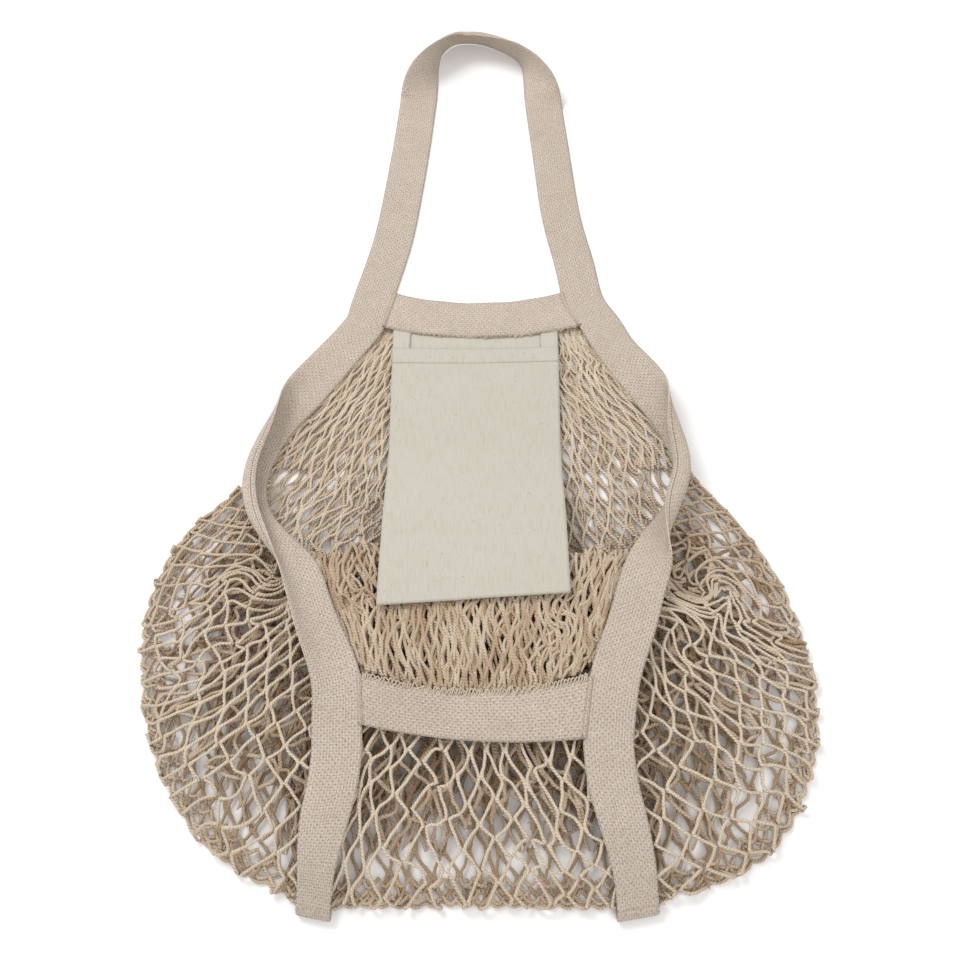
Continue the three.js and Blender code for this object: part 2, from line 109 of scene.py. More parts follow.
def look_up(rows, key, at):
    """A cubic through the table's rows: each stretch leaves and arrives with the mean slope of the
    stretches beside it."""
    x, y = rows["at"], rows[key]
    at = np.clip(np.asarray(at, float), x[0], x[-1])
    slope = np.diff(y) / np.diff(x)
    ends = np.concatenate([[slope[0]], (slope[1:] + slope[:-1]) / 2, [slope[-1]]])
    i = np.clip(np.searchsorted(x, at, side="right") - 1, 0, len(x) - 2)
    span = x[i + 1] - x[i]
    t = (at - x[i]) / span
    s = 1 - t
    cubic = y[i] * s * s * (1 + 2 * t) + y[i + 1] * t * t * (1 + 2 * s)
    return cubic + span * s * t * (ends[i] * s - ends[i + 1] * t)


print("a smooth step, a quarter of the way:", float(smooth(0, 1, 0.25)))

# %% [markdown]
# ## The lie of the bag
# The body lies like a flat pillow: the back panel on the table, the front panel swelling over it, both
# meeting along the outline. Everything that lies on the bag takes its height from the same functions, so
# that a tape or a band follows the net below it.

# %% Outline and heights
OUTLINE = table(
    "at left right rise",
    """
    -0.012 0.335 0.40 0.0
    0.104 0.465 0.485 0.04
    0.203 0.61 0.63 0.10
    0.303 0.74 0.72 0.26
    0.402 0.91 0.86 0.56
    0.502 0.985 0.95 0.84
    0.602 1.0 0.99 0.97
    0.701 0.965 1.0 1.0
    0.801 0.89 0.965 0.93
    0.9 0.765 0.86 0.68
    0.96 0.61 0.70 0.38
    1.0 0.45 0.46 0.0
    """,
)
LIFT_START = BOTTOM_Y + UNDER_REACH + (UNDER_SPREAD + TAPE_WIDTH) / 2 + TAPE_WIDTH + 8 * MM
LIFT_OVER = 130 * MM
HIDDEN_LIFT = 2.3 * MM  # how much higher the net lies over the hidden run of the front handle
TABLE_SLOPE = 45 * MM  # over which a tape comes down from the net to the table, beyond the back band


def along_body(y):
    """Share of the body's length from the back band down to y."""
    return (BAND_Y - y) / BODY_LENGTH


def left_edge(y):
    """The body's outline on the left: its row's share of half the body's width."""
    return -look_up(OUTLINE, "left", along_body(y)) * BODY_WIDTH / 2


def right_edge(y):
    """The body's outline on the right."""
    return look_up(OUTLINE, "right", along_body(y)) * BODY_WIDTH / 2


def back_height(y):
    """Middle of the back panel: half the net's room above the table, and higher over the hidden run of
    the front handle."""
    return NET_GAP / 2 + HIDDEN_LIFT * (1 - smooth(LIFT_START, LIFT_START + LIFT_OVER, y))


def front_height(x, y):
    """Middle of the front panel: a dome over the back panel that dies out at the outline."""
    inside = np.minimum(y, BAND_Y)
    half = np.where(x < 0, -left_edge(inside), right_edge(inside))
    side = np.clip(np.abs(x) / half, 0, 1)
    dome = np.clip(look_up(OUTLINE, "rise", along_body(inside)), 0, None) * (1 - side**2.5)
    return back_height(y) + NET_GAP + PANEL_GAP + LOFT * dome


def bed(x, y):
    """What a tape lies on: the front panel inside the outline, the table beyond the back band."""
    on_net = front_height(x, y) + NET_GAP / 2 + CLEARANCE
    return on_net * (1 - smooth(BAND_Y + SEAM_LAP, BAND_Y + SEAM_LAP + TABLE_SLOPE, y))


def over_turn(y):
    """How much higher a tape lies where the front panel is turned over below it."""
    start = 1 - smooth(TURN_Y + 6 * MM, TURN_Y + 40 * MM, y)
    return 2 * TURN_RADIUS * start * smooth(FRONT_Y - 60 * MM, FRONT_Y - 4 * MM, y)


down_the_middle = np.linspace(BAND_Y, BOTTOM_Y, 50)
print("top of the front panel, metres:", front_height(0 * down_the_middle, down_the_middle).max().round(4))

# %% [markdown]
# ## Meshes from arrays
# A grid of points becomes a mesh in one go. Cloth gets its thickness here too: the same grid is laid down
# twice, half a thickness to either side, and stitched round its rim. The UV map runs in millimetres, so a
# weave keeps its real scale on every piece.


# %% Mesh helpers
UNDERSIDE = 100.0  # added to the UV's first value on the cloth's other face


def add_mesh(name, points, faces, uv=None):
    """One object from points, faces (quads or triangles as rows) and a UV place for each face corner."""
    mesh = bpy.data.meshes.new(name)
    faces = np.asarray(faces, np.int32)
    mesh.vertices.add(len(points))
    mesh.vertices.foreach_set("co", np.asarray(points, np.float32).ravel())
    mesh.loops.add(faces.size)
    mesh.loops.foreach_set("vertex_index", faces.ravel())
    mesh.polygons.add(len(faces))
    mesh.polygons.foreach_set("loop_start", np.arange(0, faces.size, faces.shape[1], dtype=np.int32))
    if uv is not None:
        layer = mesh.uv_layers.new(name="cloth_mm")
        layer.data.foreach_set("uv", np.asarray(uv, np.float32).reshape(-1, 2).ravel())
    mesh.update(calc_edges=True)
    mesh.validate()
    mesh.polygons.foreach_set("use_smooth", np.ones(len(mesh.polygons), bool))
    piece = bpy.data.objects.new(name, mesh)
    scene.collection.objects.link(piece)
    return piece


def grid_normals(grid):
    """Unit normals of a grid of points: the cross product of the slopes along its two directions."""
    normal = np.cross(np.gradient(grid, axis=0), np.gradient(grid, axis=1))
    return normal / np.maximum(np.linalg.norm(normal, axis=2, keepdims=True), 1e-12)


def used_points(points, faces):
    """Only the points that some face uses, the faces renumbered to match, and which points those are."""
    keep = np.unique(faces)
    renumber = np.zeros(len(points), np.int32)
    renumber[keep] = np.arange(len(keep))
    return points[keep], renumber[faces], keep


def cloth_piece(name, grid, thickness, uv_mm, closed=False):
    """A closed cloth of the given thickness round a grid [m, n, 3]. Where the first row is the last one
    again, closed leaves out the two end rims. uv_mm holds the UV place of each grid point."""
    m, n = grid.shape[:2]
    normal = grid_normals(grid)
    if closed:
        seam = (normal[0] + normal[-1]) / 2
        normal[0] = normal[-1] = seam / np.linalg.norm(seam, axis=1, keepdims=True)
    half = np.broadcast_to(np.asarray(thickness, float) / 2, (m, n))[..., None]
    points = np.concatenate([(grid + normal * half).reshape(-1, 3), (grid - normal * half).reshape(-1, 3)])
    ids = np.arange(m * n).reshape(m, n)
    top = np.stack([ids[:-1, :-1], ids[1:, :-1], ids[1:, 1:], ids[:-1, 1:]], axis=-1).reshape(-1, 4)
    under = m * n
    rims = [(ids[:-1, 0], ids[1:, 0], True), (ids[:-1, -1], ids[1:, -1], False)]
    if not closed:
        rims += [(ids[0, :-1], ids[0, 1:], False), (ids[-1, :-1], ids[-1, 1:], True)]
    faces = [top, top[:, ::-1] + under]
    for p, q, flip in rims:
        quad = np.stack([p, p + under, q + under, q], axis=-1)
        faces.append(quad if flip else quad[:, ::-1])
    faces = np.concatenate(faces)
    corner_uv = uv_mm.reshape(-1, 2)[faces % under]
    corner_uv[len(top) : 2 * len(top), :, 0] += UNDERSIDE
    if closed:
        # The last row lies on the first one, so its faces use the first row's points.
        faces = np.where(faces % under >= under - n, faces - (under - n), faces)
        points, faces, _ = used_points(points, faces)
    return add_mesh(name, points, faces, corner_uv)


flat_grid = np.stack([*np.mgrid[0:2, 0:2], np.zeros((2, 2))], axis=-1)
print("normal of a flat grid:", grid_normals(flat_grid)[0, 0])


# %% [markdown]
# ## Camera
# The photograph looks down on the bag from its bottom side, about 28 degrees off straight down. So the
# handle's far end looks smaller, and a tape that stands up shows its side.

# %% Camera
CAMERA_TILT = np.radians(28)
CAMERA_AWAY = 1.0
LOOKED_AT = np.array([4.1 * MM, -92.4 * MM, 0.0])
FOCAL_PIXELS = 1150
PICTURE = 959
SENSOR_MM = 36

camera = bpy.data.objects.new("camera", bpy.data.cameras.new("camera"))
camera.data.sensor_width = SENSOR_MM
camera.data.lens = FOCAL_PIXELS * SENSOR_MM / PICTURE
camera.data.clip_start = 0.01
camera.location = LOOKED_AT + CAMERA_AWAY * np.array([0, -np.sin(CAMERA_TILT), np.cos(CAMERA_TILT)])
camera.rotation_euler = (CAMERA_TILT, 0, 0)
scene.collection.objects.link(camera)
scene.camera = camera
print("camera, metres:", tuple(round(v, 3) for v in camera.location))

# %% [markdown]
# ## Light
# A big soft light stands at the upper left, a weaker one at the lower right, and a bright even surround
# fills the shadows, as in a white studio tent.

# %% Light
world = bpy.data.worlds.new("studio")
scene.world = world
world.use_nodes = True
world.node_tree.nodes["Background"].inputs["Color"].default_value = (1.0, 0.985, 0.97, 1)
world.node_tree.nodes["Background"].inputs["Strength"].default_value = 0.7
scene.view_settings.view_transform = "Standard"


def add_light(name, place, target, size, power):
    """A square soft light that looks from place to target."""
    light = bpy.data.lights.new(name, "AREA")
    light.size = size
    light.energy = power
    lamp = bpy.data.objects.new(name, light)
    away = np.array(place) - np.array(target)
    lamp.location = place
    lamp.rotation_euler = (
        np.arctan2(np.hypot(away[0], away[1]), away[2]),
        0,
        np.arctan2(away[1], away[0]) + np.pi / 2,
    )
    scene.collection.objects.link(lamp)


add_light("key", (-1.2, 1.1, 1.9), (0, 0, 0), 1.2, 36)
add_light("fill", (0.7, -1.3, 1.7), (0, -0.2, 0), 1.6, 13)


# %% [markdown]
# ## Cotton
# Every part is unbleached cotton, and its surface is matt: a soft sheen, a base colour that wanders a
# little between cream and tan, and small dark specks of seed husk. A shader like that is a chain of small
# sums. Each helper here writes one of them: numbers or other nodes' outputs go in, and the new output comes
# back, so that a material reads like a formula.


# %% Shader building blocks
COTTON_ROUGHNESS = 0.88
COTTON_SHEEN = 0.18
# A Mix node has a pair of inputs for each kind of value. These are the places of its colours.
COLOUR_A, COLOUR_B, COLOUR_OUT = 6, 7, 2


def new_material(name):
    """A node material of matt cloth: the material, its node tree and its Principled BSDF."""
    material = bpy.data.materials.new(name)
    material.use_nodes = True
    surface = material.node_tree.nodes["Principled BSDF"]
    surface.inputs["Roughness"].default_value = COTTON_ROUGHNESS
    surface.inputs["Specular IOR Level"].default_value = 0.22
    surface.inputs["Sheen Weight"].default_value = COTTON_SHEEN
    surface.inputs["Sheen Roughness"].default_value = 0.6
    return material, material.node_tree, surface


def math_node(tree, operation, *values):
    """A Math node whose inputs are numbers or other nodes' outputs."""
    node = tree.nodes.new("ShaderNodeMath")
    node.operation = operation
    for socket, value in zip(node.inputs, values):
        if isinstance(value, (int, float)):
            socket.default_value = value
        else:
            tree.links.new(value, socket)
    return node.outputs[0]


def times(tree, a, b):
    """a times b."""
    return math_node(tree, "MULTIPLY", a, b)


def times_plus(tree, a, b, c):
    """a times b, plus c."""
    return math_node(tree, "MULTIPLY_ADD", a, b, c)


def wave(tree, value, period):
    """Sine of the value with the given period."""
    return math_node(tree, "SINE", times(tree, value, 2 * np.pi / period))


def ramp(tree, value, low, high, ease=False):
    """A mask: 0 where the value is low or beyond, 1 where it is high or beyond, with a step between that
    is straight or, with ease, has level ends."""
    node = tree.nodes.new("ShaderNodeMapRange")
    if ease:
        node.interpolation_type = "SMOOTHSTEP"
    node.inputs["From Min"].default_value = low
    node.inputs["From Max"].default_value = high
    tree.links.new(value, node.inputs["Value"])
    return node.outputs["Result"]


def noise_node(tree, vector, scale, detail=2.0, roughness=0.5):
    """Smooth noise from 0 to 1 with about scale bumps to one unit of the vector."""
    node = tree.nodes.new("ShaderNodeTexNoise")
    node.inputs["Scale"].default_value = scale
    node.inputs["Detail"].default_value = detail
    node.inputs["Roughness"].default_value = roughness
    tree.links.new(vector, node.inputs["Vector"])
    return node.outputs["Fac"]


def stretched(tree, vector, scale):
    """The vector with each of its values times its own scale, which draws noise out into streaks."""
    node = tree.nodes.new("ShaderNodeMapping")
    node.inputs["Scale"].default_value = scale
    tree.links.new(vector, node.inputs["Vector"])
    return node.outputs["Vector"]


def mix_colours(tree, amount, a, b, blend="MIX"):
    """Colour a where the amount is 0, and b where it is 1. Each is a colour or another node's output."""
    node = tree.nodes.new("ShaderNodeMix")
    node.data_type = "RGBA"
    node.blend_type = blend
    node.clamp_factor = True
    tree.links.new(amount, node.inputs["Factor"])
    for place, colour in ((COLOUR_A, a), (COLOUR_B, b)):
        if isinstance(colour, tuple):
            node.inputs[place].default_value = (*colour, 1)
        else:
            tree.links.new(colour, node.inputs[place])
    return node.outputs[COLOUR_OUT]


def darken(tree, colour, amount, by):
    """The colour times a darker tint, where the amount is 1."""
    return mix_colours(tree, amount, colour, by, "MULTIPLY")


def add_bump(tree, surface, height, distance, strength=1.0):
    """A bump of the given height on the surface. distance: how far one unit of height stands up."""
    bump = tree.nodes.new("ShaderNodeBump")
    bump.inputs["Distance"].default_value = distance
    bump.inputs["Strength"].default_value = strength
    tree.links.new(height, bump.inputs["Height"])
    tree.links.new(bump.outputs["Normal"], surface.inputs["Normal"])


def object_place(tree):
    """The place on the bag, in metres."""
    return tree.nodes.new("ShaderNodeTexCoord").outputs["Object"]


def uv_parts(tree):
    """The UV place in millimetres: as a vector, its value across the piece, and its value along it."""
    uv = tree.nodes.new("ShaderNodeUVMap")
    uv.uv_map = "cloth_mm"
    parts = tree.nodes.new("ShaderNodeSeparateXYZ")
    tree.links.new(uv.outputs["UV"], parts.inputs["Vector"])
    return uv.outputs["UV"], parts.outputs["X"], parts.outputs["Y"]


# %% [markdown]
# ## The cotton itself
# Tape, string and canvas are spun from the same undyed cotton, which is never one even colour. Each could
# have its own colour nodes, but a node group is built once and placed in every material with its own two
# tones. Its slow noise makes patches of about 36 mm, its fine noise mottles of about 2 mm.


# %% Cotton node group
HUSK = (0.16, 0.11, 0.06)


def make_cotton_group():
    """Cotton: a mix of a light and a dark tone by slow and fine noise, and dark specks where a third
    noise peaks."""
    group = bpy.data.node_groups.new("cotton", "ShaderNodeTree")
    for label, default in (("Light", (0.7, 0.6, 0.45, 1)), ("Dark", (0.5, 0.4, 0.26, 1))):
        socket = group.interface.new_socket(label, in_out="INPUT", socket_type="NodeSocketColor")
        socket.default_value = default
    for label, default in (("Wander", 0.5), ("Specks", 0.3)):
        socket = group.interface.new_socket(label, in_out="INPUT", socket_type="NodeSocketFloat")
        socket.default_value = default
    group.interface.new_socket("Vector", in_out="INPUT", socket_type="NodeSocketVector")
    group.interface.new_socket("Colour", in_out="OUTPUT", socket_type="NodeSocketColor")
    source = group.nodes.new("NodeGroupInput").outputs
    result = group.nodes.new("NodeGroupOutput")
    slow = noise_node(group, source["Vector"], 28, 3)
    fine = noise_node(group, source["Vector"], 420, 2)
    both = times_plus(group, slow, 0.6, fine)
    wander = times(group, math_node(group, "SUBTRACT", both, 0.55), 1.6)
    tone = mix_colours(group, times(group, wander, source["Wander"]), source["Light"], source["Dark"])
    grain = noise_node(group, source["Vector"], 620, 0)
    speck = times(group, ramp(group, grain, 0.80, 0.84), source["Specks"])
    group.links.new(mix_colours(group, speck, tone, HUSK), result.inputs["Colour"])
    return group


COTTON = make_cotton_group()


def add_cotton(tree, light, dark, wander, specks):
    """The cotton group, placed in a material on Object coordinates."""
    cotton = tree.nodes.new("ShaderNodeGroup")
    cotton.node_tree = COTTON
    cotton.inputs["Light"].default_value = (*light, 1)
    cotton.inputs["Dark"].default_value = (*dark, 1)
    cotton.inputs["Wander"].default_value = wander
    cotton.inputs["Specks"].default_value = specks
    tree.links.new(object_place(tree), cotton.inputs["Vector"])
    return cotton.outputs["Colour"]


print("nodes in the cotton group:", len(COTTON.nodes))

# %% [markdown]
# ## Knitted tape
# The tape is knitted in fine ribs that run along it, with slanting stitches across them and small holes
# between the stitches. Real stitches would take millions of faces, so they are sines of the UV place, in
# millimetres, as bump and as colour; the colour holds painted shade in the holes, in the stitches' low parts
# and in the troughs between the ribs. A little noise in the place keeps the rows from running too straight.

# %% Knitted tape material
RIB = 2.3  # millimetres from rib to rib
STITCH = 2.2  # millimetres from stitch to stitch along a rib
NEEDLE_STEP = 2.6  # millimetres from needle hole to needle hole
NEEDLE_LINE = TAPE_WIDTH / MM - 4  # millimetres from the net edge to the row of needle holes


def make_tape_material(name, overlock):
    """Knitted tape: ribs along it, a V-shaped stitch across each rib, and a small hole between the stitches,
    with painted shade in the holes, in the stitches' low parts and in the troughs between the ribs. With
    overlock, a row of needle holes with painted shade runs 4 mm inside the free edge, on the outer face."""
    material, tree, surface = new_material(name)
    uv, across, along = uv_parts(tree)
    where = object_place(tree)
    wobble = noise_node(tree, where, 90, 2)
    shifted = times_plus(tree, wobble, 3.2, along)
    side = times_plus(tree, wobble, 1.7, across)
    rib = wave(tree, side, RIB)
    slant = times(tree, math_node(tree, "ABSOLUTE", rib), 1.3)
    stitch = wave(tree, math_node(tree, "ADD", shifted, slant), STITCH)
    checks = times(tree, wave(tree, shifted, 2 * STITCH), wave(tree, side, 2 * RIB))
    hole = ramp(tree, checks, 0.62, 0.98, ease=True)
    relief = times_plus(tree, stitch, 0.5, times(tree, rib, 0.35))
    relief = times_plus(tree, noise_node(tree, where, 900, 3), 0.9, relief)
    relief = math_node(tree, "SUBTRACT", relief, times(tree, hole, 1.4))

    colour = add_cotton(tree, (0.775, 0.695, 0.61), (0.60, 0.515, 0.425), 0.7, 0.4)
    # Painted shade in the holes between the stitches, broken up by noise.
    broken = times(tree, hole, noise_node(tree, where, 260, 1))
    colour = darken(tree, colour, times(tree, broken, 1.15), (0.45, 0.36, 0.27))
    patches = noise_node(tree, stretched(tree, uv, (1.0, 0.38, 1)), 1.0, 3, 0.6)
    mottle = ramp(tree, patches, 0.44, 0.66)
    colour = darken(tree, colour, times(tree, mottle, 0.85), (0.76, 0.70, 0.63))
    # Painted shade in the stitches' low parts and in the troughs between the ribs.
    low_stitch = ramp(tree, stitch, 0.1, -0.95)
    colour = darken(tree, colour, times(tree, low_stitch, 0.34), (0.6, 0.5, 0.4))
    trough = times(tree, ramp(tree, rib, -0.35, -0.95), noise_node(tree, where, 160, 2))
    colour = darken(tree, colour, times(tree, trough, 0.95), (0.62, 0.53, 0.45))
    if overlock:
        off = math_node(tree, "SUBTRACT", across, UNDERSIDE + NEEDLE_LINE)
        line = ramp(tree, math_node(tree, "ABSOLUTE", off), 0.75, 0.25)
        # Painted shade in the needle holes.
        needle = times(tree, line, ramp(tree, wave(tree, along, NEEDLE_STEP), 0.0, 0.6))
        colour = darken(tree, colour, needle, (0.3, 0.22, 0.15))
        relief = math_node(tree, "SUBTRACT", relief, times(tree, needle, 2.0))
    tree.links.new(colour, surface.inputs["Base Color"])
    add_bump(tree, surface, relief, 0.4 * MM, 0.95)
    return material


TAPE = make_tape_material("knitted_tape", True)
BAND_TAPE = make_tape_material("knitted_band", False)
print("nodes in the tape's material:", len(TAPE.node_tree.nodes))

# %% [markdown]
# ## Twisted string
# The net's string is two plies twisted together. A tube with real plies would need many more faces, so the
# twist is a sine that climbs round the string, as a bump, with painted shade in the grooves. Strings that
# lie deep among others get little light, and that shade is painted too: each point carries a painted shade
# amount, and the colour turns darker and browner with it.

# %% Twisted string material
PLIES = 2
PLY_PITCH = 2.7  # millimetres along the string from groove to groove


def make_string_material():
    """Twisted string: slanting plies along each string as a bump, with painted shade in the grooves between
    them, and more painted shade, darker and browner, where the string lies deep among others."""
    material, tree, surface = new_material("twisted_string")
    _, around, along = uv_parts(tree)
    turn = times(tree, around, PLIES * 2 * np.pi)
    ply = math_node(tree, "SINE", times_plus(tree, along, 2 * np.pi / PLY_PITCH, turn))
    fuzz = noise_node(tree, object_place(tree), 1300, 3)
    colour = add_cotton(tree, (0.81, 0.71, 0.57), (0.68, 0.555, 0.41), 0.6, 0.1)
    # Painted shade in the grooves between the plies.
    groove = ramp(tree, ply, -0.1, -0.95)
    colour = darken(tree, colour, times(tree, groove, 0.5), (0.66, 0.55, 0.43))
    # Painted shade among the layers of net: each point's amount turns the colour darker and browner.
    deep = tree.nodes.new("ShaderNodeAttribute")
    deep.attribute_name = "painted_shade"
    colour = darken(tree, colour, deep.outputs["Fac"], (0.56, 0.43, 0.305))
    tree.links.new(colour, surface.inputs["Base Color"])
    add_bump(tree, surface, times_plus(tree, fuzz, 1.6, ply), 0.36 * MM)
    return material


STRINGS = make_string_material()
print("nodes in the string's material:", len(STRINGS.node_tree.nodes))

# %% [markdown]
# ## Pouch canvas
# The pouch is plain-woven canvas, paler and greener than the tape. Its threads are only 0.6 mm apart, so
# warp and weft are two sines multiplied, and thicker threads, the slubs, are noise drawn out along the warp.

# %% Pouch canvas material
WARP_STEP = 0.62  # millimetres from thread to thread across the pouch
WEFT_STEP = 0.68  # millimetres from thread to thread along it


def make_pouch_material():
    """Plain weave: fine warp and weft, slubs as long streaks along the warp, and a few dark specks."""
    material, tree, surface = new_material("pouch_canvas")
    uv, across, along = uv_parts(tree)
    slub = noise_node(tree, stretched(tree, uv, (0.9, 0.06, 1)), 1.0, 2, 0.6)
    bar = noise_node(tree, stretched(tree, uv, (0.05, 0.7, 1)), 1.0, 2, 0.6)
    colour = add_cotton(tree, (0.64, 0.612, 0.522), (0.55, 0.505, 0.41), 0.3, 0.5)
    streak = ramp(tree, slub, 0.48, 0.72)
    colour = darken(tree, colour, times(tree, streak, 0.7), (0.86, 0.84, 0.80))
    tree.links.new(colour, surface.inputs["Base Color"])
    relief = times(tree, wave(tree, across, WARP_STEP), wave(tree, along, WEFT_STEP))
    relief = times_plus(tree, slub, 1.2, relief)
    relief = times_plus(tree, bar, 0.8, relief)
    add_bump(tree, surface, relief, 0.17 * MM, 0.8)
    return material


CANVAS = make_pouch_material()
print("nodes in the canvas material:", len(CANVAS.node_tree.nodes))

# %% [markdown]
# ## The white table
# The bag lies on a plain white table. It belongs to the picture and not to the bag, so it is staged.

# %% Table and its material
table_top = add_mesh(
    "table_top",
    np.array([[-4, -4, 0], [4, -4, 0], [4, 4, 0], [-4, 4, 0]], float),
    [[0, 1, 2, 3]],
)
table_white, _, table_surface = new_material("table_white")
table_surface.inputs["Base Color"].default_value = (0.93, 0.93, 0.935, 1)
table_surface.inputs["Sheen Weight"].default_value = 0.0
table_top.data.materials.append(table_white)
print("table, metres:", tuple(round(v, 2) for v in table_top.dimensions))

# %% [markdown]
# ## The tape
# One tape runs up the back handle, down the left collar, along the front, round the bottom fold, under the
# bag and back up the other side. Its inner edge carries the net, so the path follows that edge. Flat
# stretches lie on what is below. At the sides of the mouth and at the top of the handle the tape stands up
# and curls, with its belly outwards and its free edge leaning back in, so that both faces show.

# %% Path of the tape
HANDLE = table(
    "across up lean curl",
    """
    -0.92 0.101 0 0
    -0.79 0.216 0 0
    -0.69 0.327 0 0
    -0.57 0.545 0 0
    -0.49 0.735 0 0
    -0.475 0.78 10 4
    -0.47 0.828 34 22
    -0.468 0.87 54 52
    -0.455 0.906 75 60
    -0.415 0.94 90 60
    -0.28 0.972 100 58
    -0.10 0.980 104 54
    0.10 0.973 101 56
    0.34 0.946 97 50
    0.50 0.918 94 42
    0.575 0.892 88 40
    0.60 0.86 72 40
    0.603 0.82 42 34
    0.608 0.775 20 10
    0.625 0.72 0 0
    0.68 0.585 0 0
    0.77 0.37 0 0
    0.90 0.216 0 0
    0.99 0.101 0 0
    """,
)
COLLAR = table(
    "left right down left_lean right_lean left_curl right_curl",
    """
    -0.495 0.575 -0.02 0 0 0 0
    -0.62 0.67 0.08 0 0 0 0
    -0.79 0.83 0.21 5 8 36 50
    -0.95 0.955 0.32 10 34 130 136
    -1.03 1.00 0.43 14 46 152 150
    -1.01 0.925 0.53 16 40 148 140
    -0.89 0.80 0.62 8 16 116 84
    -0.735 0.70 0.71 4 0 66 16
    -0.63 0.615 0.84 4 0 52 8
    -0.505 0.515 0.985 0 0 24 0
    -0.485 0.475 1.12 0 0 0 0
    """,
)
print("rows for the handle and for each collar:", len(HANDLE["up"]), len(COLLAR["down"]))

# %% [markdown]
# ## From rows to a path
# A curve object with a bevel could carry a tape, but its section couldn't go from flat to curled along the
# way. So the rows are joined here by a spline, closed on itself, with every row's lean and curl going along.

# %% Rows of the closed path
ARM_ROWS = 6
FOLD_TURNS = np.radians(np.arange(22.5, 181, 22.5))
FOLD_STRETCH = 1.6  # how much further the tape stands out at the bottom fold than a round turn would
UNDER_TURNS = np.radians(np.arange(15, 180, 15))
UNDER_SHARES = (0.12, 0.3, 0.6, 1.0)
TAPE_LOW = TAPE_THICK / 2 + 0.1 * MM  # height of the tape's middle where it lies on the table


def spline(rows, count):
    """A cubic curve through the rows, closed on itself, with count steps for each stretch. At each row it
    runs the way from the row before to the row after."""
    before, after = np.roll(rows, 1, axis=0), np.roll(rows, -1, axis=0)
    beyond = np.roll(rows, -2, axis=0)
    t = (np.arange(count) / count)[None, :, None]
    a, b, c, d = (v[:, None, :] for v in (before, rows, after, beyond))
    curve = 0.5 * (
        2 * b + (c - a) * t + (2 * a - 5 * b + 4 * c - d) * t**2 + (3 * b - a - 3 * c + d) * t**3
    )
    return curve.reshape(-1, rows.shape[1])


def arm_rows(side):
    """The front arm from the front band to the bottom fold: place of its net edge, one row a stretch."""
    last = COLLAR[side][-1] * MOUTH_WIDTH / 2
    sign = -1 if side == "left" else 1
    share = np.arange(1, ARM_ROWS + 1) / ARM_ROWS
    start_y = BAND_Y - COLLAR["down"][-1] * MOUTH_DEPTH
    y = start_y + (BOTTOM_Y - start_y) * share
    x = last + (sign * UNDER_SPREAD / 2 - last) * smooth(0.15, 1, share)
    return x, y


def fold_rows(side):
    """One side's rows below the front band: down the front arm, round the bottom fold in half an ellipse,
    and straight in along the table."""
    edge = UNDER_SPREAD / 2 if side == "right" else -UNDER_SPREAD / 2
    tape_middle = edge + np.sign(edge) * TAPE_WIDTH / 2
    high = float(bed(np.array(tape_middle), np.array(BOTTOM_Y))) + TAPE_THICK / 2
    radius = (high - TAPE_LOW) / 2
    rows = [(x, y, np.nan, 0, 0) for x, y in zip(*arm_rows(side))]
    for turn in FOLD_TURNS:
        y = BOTTOM_Y - radius * np.sin(turn) * FOLD_STRETCH
        rows.append((edge, y, TAPE_LOW + radius + radius * np.cos(turn), 0, 0))
    for share in UNDER_SHARES:
        rows.append((edge, BOTTOM_Y + UNDER_REACH * share, TAPE_LOW, 0, 0))
    return rows


def collar_rows(side):
    """One side's rows along the mouth, from the back band to the front one."""
    columns = (COLLAR[key] for key in (side, "down", side + "_lean", side + "_curl"))
    return [
        (x * MOUTH_WIDTH / 2, BAND_Y - down * MOUTH_DEPTH, np.nan, lean, curl)
        for x, down, lean, curl in zip(*columns)
    ]


def tape_rows():
    """Every row of the closed path: x, y, height (or nan where the tape rests on the bed), lean and curl.
    It starts at the left end of the back band and goes up the handle first."""
    columns = (HANDLE[key] for key in ("across", "up", "lean", "curl"))
    handle = [
        (across * HANDLE_SPAN / 2, BAND_Y + up * HANDLE_RISE, np.nan, lean, curl)
        for across, up, lean, curl in zip(*columns)
    ]
    half = UNDER_SPREAD / 2
    under = [
        (half * np.cos(turn), BOTTOM_Y + UNDER_REACH + half * np.sin(turn), TAPE_LOW, 0, 0)
        for turn in UNDER_TURNS
    ]
    right = collar_rows("right") + fold_rows("right")
    left = collar_rows("left") + fold_rows("left")
    return np.array(handle + right + under + left[::-1])


print("rows of the tape's path:", len(tape_rows()))

# %% [markdown]
# ## From path to tape
# At each point of the path the tape has a section: a short line that starts at the net edge and runs
# outwards. Its angle to the table is the row's lean at the net edge and grows by the row's curl. A flat
# tape has no lean and no curl, and then its section simply follows what it lies on.


# %% The tape as a grid
SECTION_STEPS = 14
PATH_STEPS = 7  # steps of the spline for each stretch
END_SLANT = 5 * MM  # how much higher the free edge ends at the bottom fold than the net edge


def tape_outward(path):
    """Unit direction across the tape, away from its net edge, at each point of the path: at right angles
    to the path, then a mean over nine neighbours."""
    x, y, rests = path[:, 0], path[:, 1], path[:, 5]
    heading = np.roll(path[:, :2], -1, axis=0) - np.roll(path[:, :2], 1, axis=0)
    heading /= np.linalg.norm(heading, axis=1, keepdims=True)
    outward = np.column_stack([-heading[:, 1], heading[:, 0]])
    # Under the bag and round the bottom fold the free edge keeps to the outside of the turn.
    beneath = rests < 0.999
    from_middle = np.column_stack([x, np.maximum(y - (BOTTOM_Y + UNDER_REACH), 0)])
    from_middle /= np.maximum(np.linalg.norm(from_middle, axis=1, keepdims=True), 1e-9)
    outward[beneath] = from_middle[beneath]
    # The arms below the front band keep straight across.
    arms = (y < FRONT_Y - 20 * MM) & ~beneath
    outward[arms] = np.column_stack([np.sign(x[arms]), 0 * x[arms]])
    wide = np.concatenate([outward[-4:], outward, outward[:4]])
    outward = np.column_stack([np.convolve(wide[:, k], np.ones(9) / 9, mode="valid") for k in (0, 1)])
    return outward / np.linalg.norm(outward, axis=1, keepdims=True)


